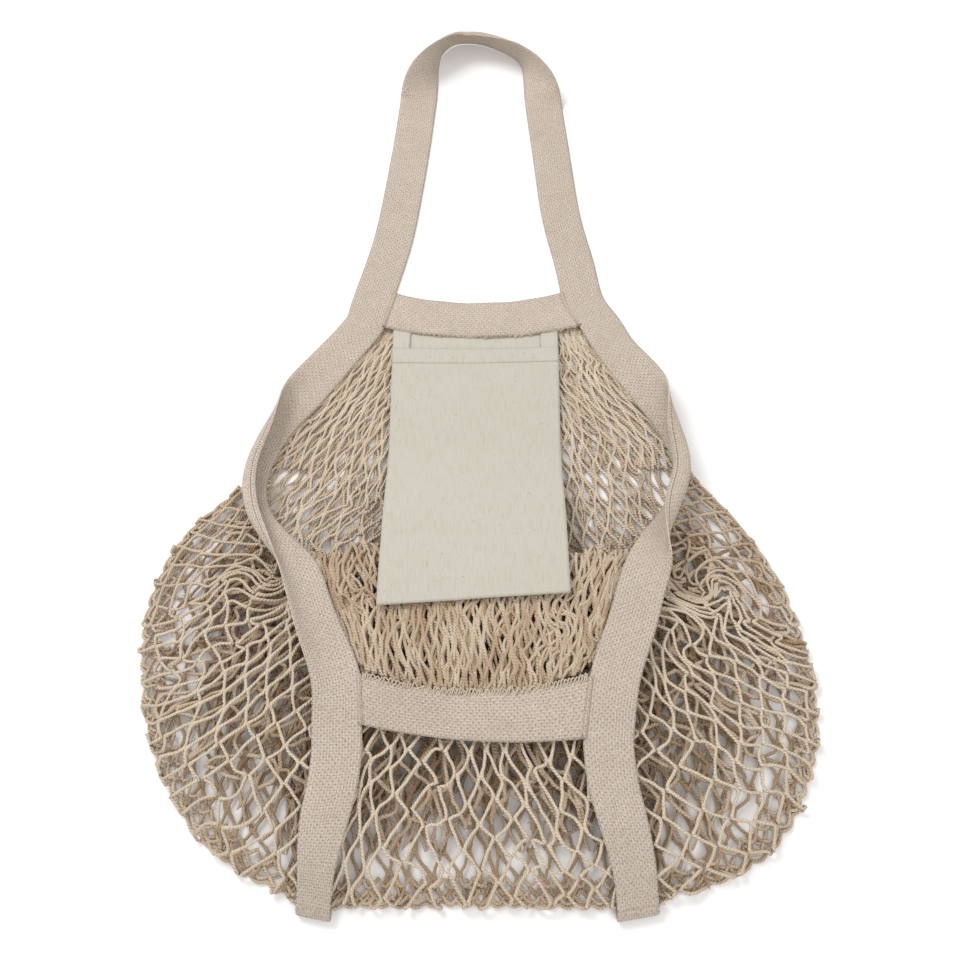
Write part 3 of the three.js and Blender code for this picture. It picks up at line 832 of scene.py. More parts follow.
def tape_section(lean, curl):
    """The section at each point of the path: how far out and how far up its points lie from the net edge.
    Each short step has its own angle to the table, lean plus an eased share of curl."""
    u = np.linspace(0, 1, SECTION_STEPS + 1)
    middle_u = (u[1:] + u[:-1]) / 2
    angle = np.radians(lean[:, None] + curl[:, None] * smooth(0.26, 0.94, middle_u)[None])
    step = TAPE_WIDTH / SECTION_STEPS
    out = np.pad(np.cumsum(np.cos(angle) * step, axis=1), ((0, 0), (1, 0)))
    up = np.pad(np.cumsum(np.sin(angle) * step, axis=1), ((0, 0), (1, 0)))
    return u, out, up


def tape_grid():
    """The tape as a grid [along, across, 3] whose last row is the first one again, with the length along
    its middle line in metres at each row."""
    rows = tape_rows()
    resting = np.isnan(rows[:, 2])
    rows[resting, 2] = 0
    path = spline(np.column_stack([rows, resting.astype(float)]), PATH_STEPS)
    x, y, fixed, lean, curl, rests = path.T
    outward = tape_outward(path)
    u, out, up = tape_section(lean, curl)
    on_front = (y < TURN_Y)[:, None]
    # The photograph shows the arms drawn in and cut at a slant where they go round the bottom fold.
    narrower = smooth(BOTTOM_Y + 75 * MM, BOTTOM_Y + 5 * MM, y) * np.where(x < 0, 0.34, 0.2)
    out *= 1 - narrower[:, None] * on_front
    px = x[:, None] + outward[:, :1] * out
    py = y[:, None] + outward[:, 1:] * out
    py = py + END_SLANT * u[None] * smooth(BOTTOM_Y + 60 * MM, BOTTOM_Y, y)[:, None] * on_front
    # A flat tape follows the bed at each of its points, a standing one only at its net edge.
    stands = smooth(0, 40, lean + curl / 2)[:, None]
    below = bed(px, py) + over_turn(py)
    at_edge = (bed(x, y) + over_turn(y))[:, None]
    on_bed = (1 - stands) * below + stands * at_edge + TAPE_THICK / 2 + up
    share = np.where(rests > 0.999, 1, np.where(rests < 0.001, 0, rests))[:, None]
    z = share * on_bed + (1 - share) * (fixed[:, None] + up)
    grid = np.stack([px, py, np.maximum(z, TAPE_THICK / 2 + 0.05 * MM)], axis=2)
    grid = np.concatenate([grid, grid[:1]])
    middle = grid[:, SECTION_STEPS // 2]
    length = np.concatenate([[0], np.cumsum(np.linalg.norm(np.diff(middle, axis=0), axis=1))])
    return grid, length


strap_grid, strap_length = tape_grid()
print("tape's grid:", strap_grid.shape, "tallest point, metres:", round(strap_grid[..., 2].max(), 4))

# %% [markdown]
# ## The strap
# The grid gets the tape's thickness, a little less at both edges, as knitted edges are softer. It takes the
# place of the frame's four tape nodes.


# %% Strap
def soft_rim(u, thickness):
    """A cloth's thickness across it: full in the middle, thinner at both edges."""
    return thickness * (1 - 0.55 * np.abs(2 * u - 1) ** 12)


strap_u = np.linspace(0, 1, strap_grid.shape[1])
strap_uv = np.stack(
    [
        np.broadcast_to(strap_u * TAPE_WIDTH / MM, strap_grid.shape[:2]),
        np.broadcast_to(strap_length[:, None] / MM, strap_grid.shape[:2]),
    ],
    axis=2,
)
strap = cloth_piece("strap_loop", strap_grid, soft_rim(strap_u, TAPE_THICK)[None], strap_uv, closed=True)
strap.data.materials.append(TAPE)
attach(strap, "root")
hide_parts("back_handle", "left_collar", "right_collar", "front_handle")
print("tape loop, metres:", round(float(strap_length[-1]), 3), "faces:", len(strap.data.polygons))


# %% [markdown]
# ## The two mouth bands
# Each band is a short tape let in between the two arms of the strap. Its ends are sewn to the strap's inner
# edges with a narrow ridge, and its long edge towards the mouth carries the gathered net. Each of its long
# edges sags a little, so it is a parabola through three heights read off the photograph.


# %% Bands
# Each line: its y at the left end, in the middle and at the right end.
BACK_BAND_TOP = (BAND_Y + 53 * MM, BAND_Y + 41 * MM, BAND_Y + 54 * MM)
BACK_BAND_LOW = (BAND_Y + 10 * MM, BAND_Y - 1 * MM, BAND_Y + 12 * MM)
FRONT_BAND_TOP = (FRONT_Y + 3 * MM, FRONT_Y - 12 * MM, FRONT_Y + 1 * MM)
FRONT_BAND_LOW = (FRONT_Y - 35 * MM, FRONT_Y - 47 * MM, FRONT_Y - 45 * MM)


def parabola(line, a):
    """The parabola that has the line's three values at a = 0, 1/2 and 1."""
    start, middle, end = line
    return start + (4 * middle - 3 * start - end) * a + 2 * (start - 2 * middle + end) * a**2


def strap_edge_x(y, side):
    """Where the strap's net edge crosses the line y on one side, near a band."""
    key = "left" if side < 0 else "right"
    rows_y = BAND_Y - COLLAR["down"] * MOUTH_DEPTH
    rows_x = COLLAR[key] * MOUTH_WIDTH / 2
    top_y = BAND_Y + HANDLE["up"] * HANDLE_RISE
    top_x = HANDLE["across"] * HANDLE_SPAN / 2
    half = len(top_y) // 2
    pick = slice(0, half) if side < 0 else slice(half + 1, None)
    all_y = np.concatenate([rows_y, top_y[pick]])
    all_x = np.concatenate([rows_x, top_x[pick]])
    order = np.argsort(all_y)
    return np.interp(y, all_y[order], all_x[order])


def band_seam(name, y, z, side):
    """The narrow ridge where a band's end is sewn to the strap: a low arch along the strap's edge."""
    across = np.linspace(-1, 1, 7)[None, :]
    x = strap_edge_x(y, side)[:, None] + side * SEAM_RIDGE * 0.2 + across * SEAM_RIDGE / 2
    height = z[:, None] + TAPE_THICK / 2 - CLEARANCE + SEAM_RIDGE / 2 * (1 - across**2)
    grid = np.stack([x, y[:, None] + 0 * across, height], axis=2)
    uv = np.stack([across * SEAM_RIDGE / MM + 0 * x, y[:, None] / MM + 0 * x], axis=2)
    seam = cloth_piece(name, grid[::-1], SEAM_RIDGE / 4, uv[::-1])
    seam.data.materials.append(BAND_TAPE)
    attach(seam, "root")
    return seam


def band_piece(name, upper, lower, node):
    """A band as a grid: a goes across from strap edge to strap edge, s up from its lower to its upper
    line. A ripple of half a millimetre runs along it."""
    a = np.linspace(0, 1, 61)[:, None]
    s = np.linspace(0, 1, 13)[None, :]
    y = parabola(lower, a) + (parabola(upper, a) - parabola(lower, a)) * s
    left, right = strap_edge_x(y, -1), strap_edge_x(y, 1)
    x = left + CLEARANCE + (right - left - 2 * CLEARANCE) * a
    ripple = 0.5 * MM * np.sin(a * 23 + 1.3) * np.sin(a * np.pi)
    z = bed(x, y) + over_turn(y) + TAPE_THICK / 2 + ripple
    grid = np.stack([x, y, z], axis=2)
    uv = np.stack([s * TAPE_WIDTH / MM + 0 * a, (x / MM) + 0 * s], axis=2)
    band = cloth_piece(name, grid, soft_rim(s, TAPE_THICK) + 0 * a, uv)
    band.data.materials.append(BAND_TAPE)
    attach(band, "root")
    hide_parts(node)
    seams = [
        band_seam(name + "_seam_left", y[0], z[0], -1),
        band_seam(name + "_seam_right", y[-1], z[-1], 1),
    ]


band_piece("back_band_tape", BACK_BAND_TOP, BACK_BAND_LOW, "back_band")
band_piece("front_band_tape", FRONT_BAND_TOP, FRONT_BAND_LOW, "front_band")

# %% [markdown]
# ## The net
# On the real bag each string runs in a zigzag and is looped to its left neighbour, then to its right one,
# which leaves a diamond between each pair of loops. So one string is a function of its column and of the
# distance along it, and the panel's surface bends it into place. Slow noise lets the strings wander, bunch
# up and stand off, as slack cotton does. The noise is a lattice of seeded random values, so that every run
# gives the same net.


# %% Noise for slack string
def value_noise(x, y, seed):
    """Smooth noise from -1 to 1: random values on whole numbers, eased between their four neighbours."""
    lattice = np.random.default_rng(seed).uniform(-1, 1, (64, 64))
    x, y = np.asarray(x, float), np.asarray(y, float)
    i, j = np.floor(x).astype(int), np.floor(y).astype(int)
    u, v = smooth(0, 1, x - i), smooth(0, 1, y - j)
    i0, j0, i1, j1 = i % 64, j % 64, (i + 1) % 64, (j + 1) % 64
    low = lattice[i0, j0] * (1 - u) + lattice[i1, j0] * u
    high = lattice[i0, j1] * (1 - u) + lattice[i1, j1] * u
    return low * (1 - v) + high * v


print("noise at three places:", np.round(value_noise(np.array([0.3, 1.7, 2.2]), np.zeros(3), 11), 3))

# %% [markdown]
# ## The two panels as surfaces
# The front panel hangs from the mouth's edge, and the photograph shows it turned over below the mouth: the
# cloth goes up from the front band, over a soft turn, and comes down on itself. The panel is a function of
# the place round the mouth and the way down the cloth. The rows below say where each column starts on the
# mouth's edge (across, down) and where it ends on the outline (edge, and reach for the side).

# %% Front and back panel
FRONT_COLUMNS = table(
    "at across down edge reach",
    """
    0.0 -0.52 0.02 0.08 -1
    0.065 -0.78 0.22 0.21 -1
    0.111 -1.0 0.43 0.32 -1
    0.153 -1.0 0.53 0.43 -1
    0.198 -0.88 0.66 0.57 -1
    0.249 -0.65 0.84 0.71 -1
    0.30 -0.5 0.975 0.84 -1
    0.34 -0.40 0.998 0.935 -1
    0.39 -0.26 1.022 1.0 -1
    0.5 0.0 1.04 1.0 0
    0.61 0.26 1.027 1.0 1
    0.66 0.40 1.0 0.935 1
    0.70 0.5 0.98 0.84 1
    0.751 0.65 0.84 0.71 1
    0.802 0.82 0.66 0.57 1
    0.847 0.95 0.52 0.42 1
    0.889 1.0 0.4 0.31 1
    0.935 0.83 0.2 0.2 1
    1.0 0.58 0.02 0.08 1
    """,
)
TURN_SPREAD = 0.3
WIDEST_Y = BAND_Y - 0.65 * BODY_LENGTH


def turn_wander(a):
    """How far the turn strays from its line, round the mouth: slow and quicker noise together."""
    return 8 * MM * value_noise(a * 34, 0.5 + 0 * a, 201) + 4 * MM * value_noise(a * 90, 2.5 + 0 * a, 202)


def front_panel(a, distance):
    """The front panel: a is the place round the mouth, distance the way down the cloth from the mouth's
    edge. The way runs over the turned part, round the turn in a half circle, and on to the outline.
    Gives the point and the whole length of that way."""
    value = {key: look_up(FRONT_COLUMNS, key, a) for key in ("across", "down", "edge", "reach")}
    start_x = value["across"] * MOUTH_WIDTH / 2
    start_y = BAND_Y - value["down"] * MOUTH_DEPTH
    end_y = BAND_Y - np.minimum(1, value["edge"]) * BODY_LENGTH
    reach = np.clip(value["reach"], -1, 1)
    end_x = np.where(reach < 0, -reach * left_edge(end_y), reach * right_edge(end_y))
    fold = np.maximum(0, TURN_Y + turn_wander(a) - start_y)
    share = np.clip(fold / (TURN_Y - FRONT_Y), 0, 1.1)
    turn_x, turn_y = start_x * (1 + TURN_SPREAD * share), start_y + fold
    under = np.hypot(end_x - turn_x, end_y - turn_y)
    radius = np.maximum(0.05 * MM, TURN_RADIUS * share)
    quarter = np.pi / 2 * radius
    folded = distance < fold
    away = np.where(folded, fold - distance, np.minimum(distance - fold, under))
    whole = np.maximum(np.where(folded, fold, under), 1e-6)
    bend = np.minimum(1, away / quarter)
    plan = np.where(away < quarter, radius * (1 - np.cos(bend * np.pi / 2)), away - quarter + radius)
    part = np.clip(plan / whole, 0, 1)
    x = turn_x + (np.where(folded, start_x, end_x) - turn_x) * part
    y = turn_y + (np.where(folded, start_y, end_y) - turn_y) * part
    side = np.sin(bend * np.pi / 2) * np.where(folded, 1, -1)
    z = front_height(x, y) + radius * (1 + side)
    return np.stack([x, y, z], axis=-1), fold + under


def back_panel(a, distance):
    """The back panel: a runs across between the outline's two sides, distance from the back band to the
    bottom fold. Below the widest line the columns run straight on, and the outline cuts them off."""
    top = BAND_Y + NET_TOP
    y = np.maximum(top - distance, BOTTOM_Y)
    spread_y = np.maximum(y, WIDEST_Y)
    x = left_edge(spread_y) + (right_edge(spread_y) - left_edge(spread_y)) * a
    return np.stack([x, y, back_height(y) + 0 * x], axis=-1), top - BOTTOM_Y + 0 * a


_, column_lengths = front_panel(np.linspace(0, 1, 50), np.zeros(50))
print("front panel's columns, metres:", column_lengths.min().round(3), "to", column_lengths.max().round(3))

# %% [markdown]
# ## A string as a tube
# A bevelled curve could carry each string, but its swellings at the loops and its painted shade, which
# changes from point to point, are hard to put on a curve. Here all strings of a layer are one array of
# points, with a ring of six round each, and so they become a mesh in one go. Each ring's first direction is
# handed on from ring to ring, so that the tube never twists.

# %% Strings
ROW = 16.5 * MM  # half a mesh, along a gathered string
OPEN_ROW = 13.2 * MM  # half a mesh, where the net is spread wide
SAMPLES = 6  # points for each half mesh
SIDES = 6  # sides of a string's tube
NECK = 0.09  # how far inside its column a string stays at a loop, as a share of the column
TIP = 0.15  # radius of a string's end, as a share of the string's radius


def zigzag(count, rows, shift):
    """Column place of each string at each sample: it swings between its two columns in straight runs
    with a little rounding beside each neighbour."""
    strings = np.arange(count)
    tau = np.arange(rows * SAMPLES + 1) / SAMPLES
    swing = np.abs((tau[None, :] + (strings[:, None] + shift) % 2) % 2 - 1)
    eased = 0.3 * smooth(0, 1, swing) + 0.7 * swing
    return strings[:, None] + NECK + (1 - 2 * NECK) * (1 - eased), np.broadcast_to(tau, swing.shape)


def knot_radius(column, tau, seed):
    """Radius of a string: it swells by nearly half at each loop, a bell curve of the distance to the loop,
    and wanders a little everywhere."""
    near = np.exp(-(((tau - np.round(tau)) / 0.1) ** 2))
    return STRING / 2 * (0.9 + 0.42 * near + 0.14 * value_noise(column * 2.3, tau * 3, seed))


def tube_rings(path, radius):
    """Rings of points round paths [strings, samples, 3]. The ring's first direction is carried along
    each path without twist, by taking out its part along the new tangent at each step."""
    tangent = np.gradient(path, axis=1)
    tangent /= np.maximum(np.linalg.norm(tangent, axis=2, keepdims=True), 1e-12)
    side = np.cross(tangent[:, 0], [0.05, 0.03, 1.0])
    sides = [side / np.maximum(np.linalg.norm(side, axis=1, keepdims=True), 1e-12)]
    for k in range(1, path.shape[1]):
        side = sides[-1] - tangent[:, k] * np.sum(sides[-1] * tangent[:, k], axis=1, keepdims=True)
        sides.append(side / np.maximum(np.linalg.norm(side, axis=1, keepdims=True), 1e-12))
    first = np.stack(sides, axis=1)
    second = np.cross(tangent, first)
    angle = np.arange(SIDES) * 2 * np.pi / SIDES
    ring = first[:, :, None] * np.cos(angle)[None, None, :, None]
    ring = ring + second[:, :, None] * np.sin(angle)[None, None, :, None]
    return path[:, :, None] + ring * radius[:, :, None, None]


def string_piece(name, path, used, radius, painted_shade):
    """All strings of one layer as one mesh of tubes. used holds the first and the last sample of each
    string that is built, and the tube narrows to a fine tip there. Gives the piece and half its surface:
    length times half the way round, summed over the strings."""
    first, last = used
    keep_strings = last - first >= 2
    path, radius, painted_shade = path[keep_strings], radius[keep_strings], painted_shade[keep_strings]
    first, last = first[keep_strings], last[keep_strings]
    count, samples = path.shape[:2]
    k = np.arange(samples)[None, :]
    ends = (k == first[:, None]) | (k == last[:, None])
    rings = tube_rings(path, np.where(ends, TIP, 1.0) * radius)
    length = np.cumsum(np.linalg.norm(np.diff(path, axis=1, prepend=path[:, :1]), axis=2), axis=1)
    ids = np.arange(count * samples * SIDES).reshape(count, samples, SIDES)
    around = np.roll(ids, -1, axis=2)
    quad = np.stack([ids[:, :-1], around[:, :-1], around[:, 1:], ids[:, 1:]], axis=-1)
    built = (k[:, :-1] >= first[:, None]) & (k[:, :-1] < last[:, None])
    built = np.broadcast_to(built[:, :, None], quad.shape[:3])
    turn = np.arange(SIDES) / SIDES
    v = length / MM
    corner = np.empty((count, samples - 1, SIDES, 4, 2))
    corner[..., 0, 0] = corner[..., 3, 0] = turn
    corner[..., 1, 0] = corner[..., 2, 0] = turn + 1 / SIDES
    corner[..., 0, 1] = corner[..., 1, 1] = v[:, :-1, None]
    corner[..., 2, 1] = corner[..., 3, 1] = v[:, 1:, None]
    points, faces, keep = used_points(rings.reshape(-1, 3), quad[built])
    piece = add_mesh(name, points, faces, corner[built])
    # Each point carries its painted shade amount, which the string material turns into darker, browner
    # colour.
    layer = piece.data.attributes.new("painted_shade", "FLOAT", "POINT")
    layer.data.foreach_set("value", np.repeat(painted_shade.reshape(-1), SIDES)[keep].astype(np.float32))
    piece.data.materials.append(STRINGS)
    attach(piece, "root")
    string_length = np.diff(length, axis=1)
    covered = float(np.sum(string_length * radius[:, 1:] * built[..., 0]) * np.pi)
    print(name, "strings:", count, "triangles:", 2 * len(faces), "covers, square metres:", round(covered, 4))
    return piece, covered


print("half a mesh, metres:", ROW, "gathered and", OPEN_ROW, "open")

# %% [markdown]
# ## What a layer of net covers
# A layer of strings is a sheet of net, gathered along the tape. Neither its cut length nor how much of it
# the strings cover is visible, so no cut size is known; each layer gives the area of its strings as built.
# The sizes declared here are stand-ins and not cut sizes. The area is that of the strings as built, and the
# length follows from it with a guessed share. The frame's area test on a net therefore compares the mesh
# with itself.


# %% [markdown]
# ## How slack net lies
# The photograph shows three things that a plain grid lacks: strings that sway, places where the net was
# pushed together into a curl, and an outline that nothing sticks out of. A cloth simulation could find such
# a shape, but not the one in the photograph, so each is a small function that moves the strings' points.

# %% Slack, curls and outline
SLACK_SIZE = 34 * MM  # from one bump of the slow noise to the next


def slack(path, seed, sway, lift):
    """Slow noise on a path [.., 3]: sway along the table, lift above it. It depends on the place only,
    so strings that are looped together move together."""
    x, y = path[..., 0] / SLACK_SIZE, path[..., 1] / SLACK_SIZE
    sway = sway * (0.7 + 1.1 * smooth(0.05, 0.7, value_noise(x / 2.1, y / 2.1, seed + 9)))
    moved = path.copy()
    moved[..., 0] += sway * (value_noise(x, y, seed) + 0.45 * value_noise(3.3 * x, 3.3 * y, seed + 1))
    moved[..., 1] += sway * (value_noise(x, y, seed + 2) + 0.45 * value_noise(3.3 * x, 3.3 * y, seed + 3))
    moved[..., 0] += 0.16 * sway * value_noise(9 * x, 9 * y, seed + 6)
    moved[..., 1] += 0.16 * sway * value_noise(9 * x, 9 * y, seed + 7)
    moved[..., 2] += lift * (0.6 * value_noise(x, y, seed + 4) + 0.6 * value_noise(4 * x, 4 * y, seed + 5))
    return moved


def swirl(path, middle, radius, turn):
    """The path [.., 3] turned about a place on the bag, by the angle turn at its middle and less and less
    round it: a bell curve of the distance. Slack net that was pushed together lies like this."""
    off = path[..., :2] - np.array(middle)
    angle = turn * np.exp(-np.sum(off**2, axis=-1) / radius**2)
    turned = path.copy()
    turned[..., 0] = middle[0] + np.cos(angle) * off[..., 0] - np.sin(angle) * off[..., 1]
    turned[..., 1] = middle[1] + np.sin(angle) * off[..., 0] + np.cos(angle) * off[..., 1]
    return turned


def keep_inside(path, inset):
    """A path [.., 3] with every point that strays past the body's outline set back to it."""
    kept = path.copy()
    kept[..., 1] = np.maximum(path[..., 1], BOTTOM_Y + inset)
    left, right = left_edge(kept[..., 1]) + inset, right_edge(kept[..., 1]) - inset
    kept[..., 0] = np.clip(path[..., 0], left, right)
    return kept


def window(distance, start, stop):
    """First and last sample of each string with a distance between start and stop."""
    inside = (distance >= start) & (distance <= stop)
    first = np.argmax(inside, axis=1)
    last = inside.shape[1] - 1 - np.argmax(inside[:, ::-1], axis=1)
    return first, np.where(inside.any(axis=1), last, first)


print("first and last of five samples in the window:", window(np.arange(5)[None] * 0.1, 0.1, 0.3))

# %% [markdown]
# ## The front net
# The front panel's strings start at the mouth's edge and end in soft loops along the outline, where the
# real cloth goes on into the back panel. The rows below are the places where the net was pushed together:
# across and down as shares of the body, radius as a share of its width, and the turn in radians.

# %% Front net
FRONT_STRINGS = 102
FRONT_ROWS = 29
RIM_TURN = 26 * MM  # how far a string runs back under itself at the outline
RIM_HEIGHT = 1.7 * MM  # middle of a string where it runs back
SWIRLS = table(
    "across down radius turn",
    """
    0.70 0.505 0.045 1.6
    0.62 0.60 0.035 -1.1
    0.26 0.577 0.028 1.7
    -0.10 0.60 0.04 0.5
    -0.33 0.54 0.03 -0.8
    -0.66 0.50 0.05 -1.4
    -0.80 0.62 0.035 1.1
    0.80 0.80 0.045 0.9
    -0.70 0.86 0.04 -0.8
    """,
)


def row_length(a):
    """Length of half a mesh: short at the two sides, where the net is spread, and long in the middle."""
    middle = smooth(0.22, 0.32, a) * smooth(0.78, 0.68, a)
    return OPEN_ROW + (ROW - OPEN_ROW) * middle


def front_net():
    """The front panel's strings. They run from the mouth's edge to the outline, turn under there, and
    run back a little below themselves, so the outline is a row of soft loops."""
    column, tau = zigzag(FRONT_STRINGS, FRONT_ROWS, 0)
    free = smooth(0, 2.5, tau)
    warp = value_noise(column / 5, tau / 3, 11) + 0.5 * value_noise(column / 2.2, tau / 2, 13)
    a = np.clip((column + 0.75 * warp * free) / FRONT_STRINGS, 0, 1)
    distance = tau * row_length(column / FRONT_STRINGS) * (1 + 0.06 * value_noise(column / 7, tau / 5, 12))
    _, whole = front_panel(a, distance)
    whole = np.broadcast_to(whole[:, :1], whole.shape)
    past = np.maximum(distance - whole, 0)
    path, _ = front_panel(a, np.minimum(distance, whole) - 0.9 * past)
    folded = 1 - smooth(105 * MM, 125 * MM, distance)
    loose = smooth(0, 24 * MM, distance)
    moved = slack(path, 21, 3.2 * MM, 2.2 * MM)
    held = 1 - 0.75 * smooth(34 * MM, 6 * MM, whole - distance)
    path = path + (moved - path) * (loose * held)[..., None]
    for across, down, radius, turn in zip(*(SWIRLS[key] for key in ("across", "down", "radius", "turn"))):
        middle = (across * BODY_WIDTH / 2, BAND_Y - down * BODY_LENGTH)
        path = swirl(path, middle, radius * BODY_WIDTH, turn)
    path = keep_inside(path, STRING / 2)
    bunch = value_noise(column / 3.0, tau / 8, 14)
    path[..., 2] += 2.2 * MM * bunch * loose * folded
    sink = smooth(-4 * MM, 8 * MM, past - 2 * MM)
    path[..., 2] += (RIM_HEIGHT - path[..., 2]) * sink
    parity = np.where(np.arange(FRONT_STRINGS)[:, None] % 2 == 0, 1, -1)
    path[..., 2] += 0.6 * MM * parity * np.cos(np.pi * tau)
    path[..., 2] = np.maximum(path[..., 2], STRING / 2 * 1.2)
    # Painted shade: a little everywhere, more in the turned part, most where its strings bunch low, and more
    # where they run back under at the outline and near it.
    painted_shade = 0.06 + (0.2 + 0.4 * smooth(0.3, -0.8, bunch)) * folded + 0.3 * sink
    near_rim = smooth(40 * MM, 5 * MM, np.abs(distance - whole))
    painted_shade = painted_shade + 0.16 * near_rim
    used = window(distance, 0, whole + RIM_TURN)
    return string_piece("front_net_strings", path, used, knot_radius(column, tau, 15), painted_shade)


front_strings = front_net()
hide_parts("net_front_panel")

# %% [markdown]
# ## Slack layers between the panels
# Between the panels the real bag holds more of the same net. Its course can't be seen, so it is made of two
# further runs of the front panel's own function, sunk towards the back panel and with more slack. These
# strings carry more painted shade, which makes them browner in the gaps.


# %% Slack layers
def inner_net(name, count, level, painted_shade, seed, margin, phase):
    """A slack layer of the front panel's own net, sunk between the panels: level is its share of the
    height from the back panel to the front one. It ends well inside the outline."""
    column, tau = zigzag(count, FRONT_ROWS, phase)
    warp = value_noise(column / 4, tau / 3, seed) + 0.6 * value_noise(column / 1.9, tau / 1.7, seed + 1)
    a = np.clip((column + 1.3 * warp) / count, 0, 1)
    distance = tau * row_length(column / count) * (1 + 0.05 * value_noise(column / 5, tau / 4, seed + 2))
    path, whole = front_panel(a, distance)
    whole = whole[:, :1]
    start_y = BAND_Y - look_up(FRONT_COLUMNS, "down", a[:, :1]) * MOUTH_DEPTH
    fold = np.maximum(0, TURN_Y + turn_wander(a[:, :1]) - start_y)
    path = slack(path, seed + 3, 5.5 * MM, 2.5 * MM)
    low = back_height(path[..., 1]) + 2 * MM
    path[..., 2] = np.maximum(low + (path[..., 2] - low) * level, STRING / 2 * 1.2)
    # Painted shade: the layer's own amount with some noise; the lower layer gets more.
    shade = painted_shade + 0.2 * value_noise(column / 2, tau, seed + 8)
    used = window(distance, fold + 6 * MM, whole - margin)
    return string_piece(name, path, used, 1.22 * knot_radius(column, tau, seed + 9), shade)


inner_upper = inner_net("inner_net_upper", 90, 0.62, 0.5, 61, 52 * MM, 0)
inner_lower = inner_net("inner_net_lower", 104, 0.25, 0.9, 81, 62 * MM, 1)

# %% [markdown]
# ## The back net
# The back panel lies flat on the table, under everything else, and shows in the mouth and through the front
# net. Its strings fan out from the back band. The photograph shows the mouth nearly full of string, so two
# more layers with slack of their own lie over the lowest one.

# %% Back net
BACK_ROWS = 31
RIM_CLEAR = 13 * MM  # how far inside the outline the back panel's strings end


def back_net(name, count, above, painted_shade, seed, phase, margin=0.0, lowest=-1.0):
    """A layer of the back panel's strings, fanned from the back band to the bottom fold, or only to the
    line lowest."""
    column, tau = zigzag(count, BACK_ROWS, phase)
    free = smooth(0, 3, tau)
    warp = value_noise(column / 4, tau / 4, seed) + 0.6 * value_noise(column / 1.8, tau / 2, seed + 1)
    inner = np.sqrt(np.sin(np.pi * np.clip(column / count, 0, 1)))
    a = np.clip((column + warp * inner * free) / count, 0.002, 0.998)
    distance = tau * ROW
    path, whole = back_panel(a, distance)
    moved = slack(path, seed + 2, 4.6 * MM, 2.0 * MM)
    path = path + (moved - path) * smooth(0, 30 * MM, distance)[..., None]
    path[..., 2] = np.maximum(path[..., 2], back_height(path[..., 1]))
    path[..., 2] += above * smooth(4 * MM, 50 * MM, distance)
    # Painted shade: the layer's own amount with some noise, and more under the front panel's dome.
    under_body = smooth(TURN_Y + 25 * MM, TURN_Y - 15 * MM, path[..., 1])
    shade = painted_shade + 0.15 * value_noise(column / 2, tau / 2, seed + 8) + 0.4 * under_body
    outside = path[..., 0] < left_edge(path[..., 1]) + RIM_CLEAR + margin
    outside |= path[..., 0] > right_edge(path[..., 1]) - RIM_CLEAR - margin
    outside &= path[..., 1] < TURN_Y + 90 * MM
    outside |= path[..., 1] < lowest
    stop = np.where(outside.any(axis=1), np.argmax(outside, axis=1), outside.shape[1] - 1)
    first, last = window(distance, 0 * whole, whole - margin - RIM_CLEAR / 2)
    used = first, np.minimum(last, stop)
    return string_piece(name, path, used, knot_radius(column, tau, seed + 9), shade)


back_strings = back_net("back_net_strings", 66, 0.0, 0.42, 31, 1)
back_upper = back_net("back_net_upper", 62, 3.0 * MM, 0.1, 111, 0, 34 * MM)
back_middle = back_net("back_net_middle", 52, 1.5 * MM, 0.45, 151, 1, 30 * MM, TURN_Y - 30 * MM)
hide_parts("net_back_panel")

# %% [markdown]
# ## Gathers of the turned part
# Where the front panel is turned over below the mouth, the net is gathered tight along the band, and hardly
# a gap stays open. Denser strings in the panel itself would be denser everywhere, so two further runs of
# strings lie just under the turned part only.


# %% Gathers
def flap_net(name, count, drop, painted_shade, seed):
    """A further run of strings under the turned part of the front panel, between the strings above.
    The turned part is gathered tight along the band, and this closes most of its gaps."""
    column, tau = zigzag(count, 12, 1)
    warp = value_noise(column / 3.4, tau / 2.4, seed) + 0.5 * value_noise(column / 1.7, tau / 1.5, seed + 1)
    a = np.clip((column + 1.2 * warp * smooth(0, 2, tau)) / count, 0, 1)
    distance = tau * 0.85 * ROW - 2 * MM
    path, _ = front_panel(a, np.maximum(distance, 0))
    start_y = BAND_Y - look_up(FRONT_COLUMNS, "down", a[:, :1]) * MOUTH_DEPTH
    fold = TURN_Y + turn_wander(a[:, :1]) - start_y
    path = slack(path, seed + 2, 4.4 * MM, 1.2 * MM)
    path[..., 2] -= drop
    # Painted shade: the run's own amount with some noise; the lower run gets more.
    shade = painted_shade + 0.3 * value_noise(column / 2, tau, seed + 3)
    first, last = window(distance, -3 * MM, fold + 4 * MM)
    between = (column[:, 0] > 0.2 * count) & (column[:, 0] < 0.8 * count) & (fold[:, 0] > 20 * MM)
    used = first, np.where(between, last, first)
    return string_piece(name, path, used, 1.15 * knot_radius(column, tau, seed + 4), shade)


flap_under = flap_net("flap_net_under", 124, 1.9 * MM, 0.55, 231)
flap_lowest = flap_net("flap_net_lowest", 120, 3.8 * MM, 0.9, 261)

# %% [markdown]
# ## Rim and stitches
# Along the outline the loops lie close, and a few scalloped strings on and inside it close the row. At each
# band the net is held by a row of small loops, a string that zigzags over the band's edge.


# %% Rim and stitches
# One row for each string of the rim, in millimetres: how far inside the outline its scallops reach nearest,
# how deep they are, by how much of a scallop they are shifted, and the string's height.
RIM = table(
    "inset scallop shift height",
    """
    1.5 3.5 0.0 1.7
    4.5 5.0 0.0 3.4
    9.0 6.0 0.5 2.0
    15.0 7.0 0.0 4.6
    """,
)
STITCH_RADIUS = 0.65 * MM
STITCH_STEP = 5.2 * MM  # from loop to loop along a band's edge
STITCH_REACH = 2.3 * MM  # how far a loop reaches to either side of the edge


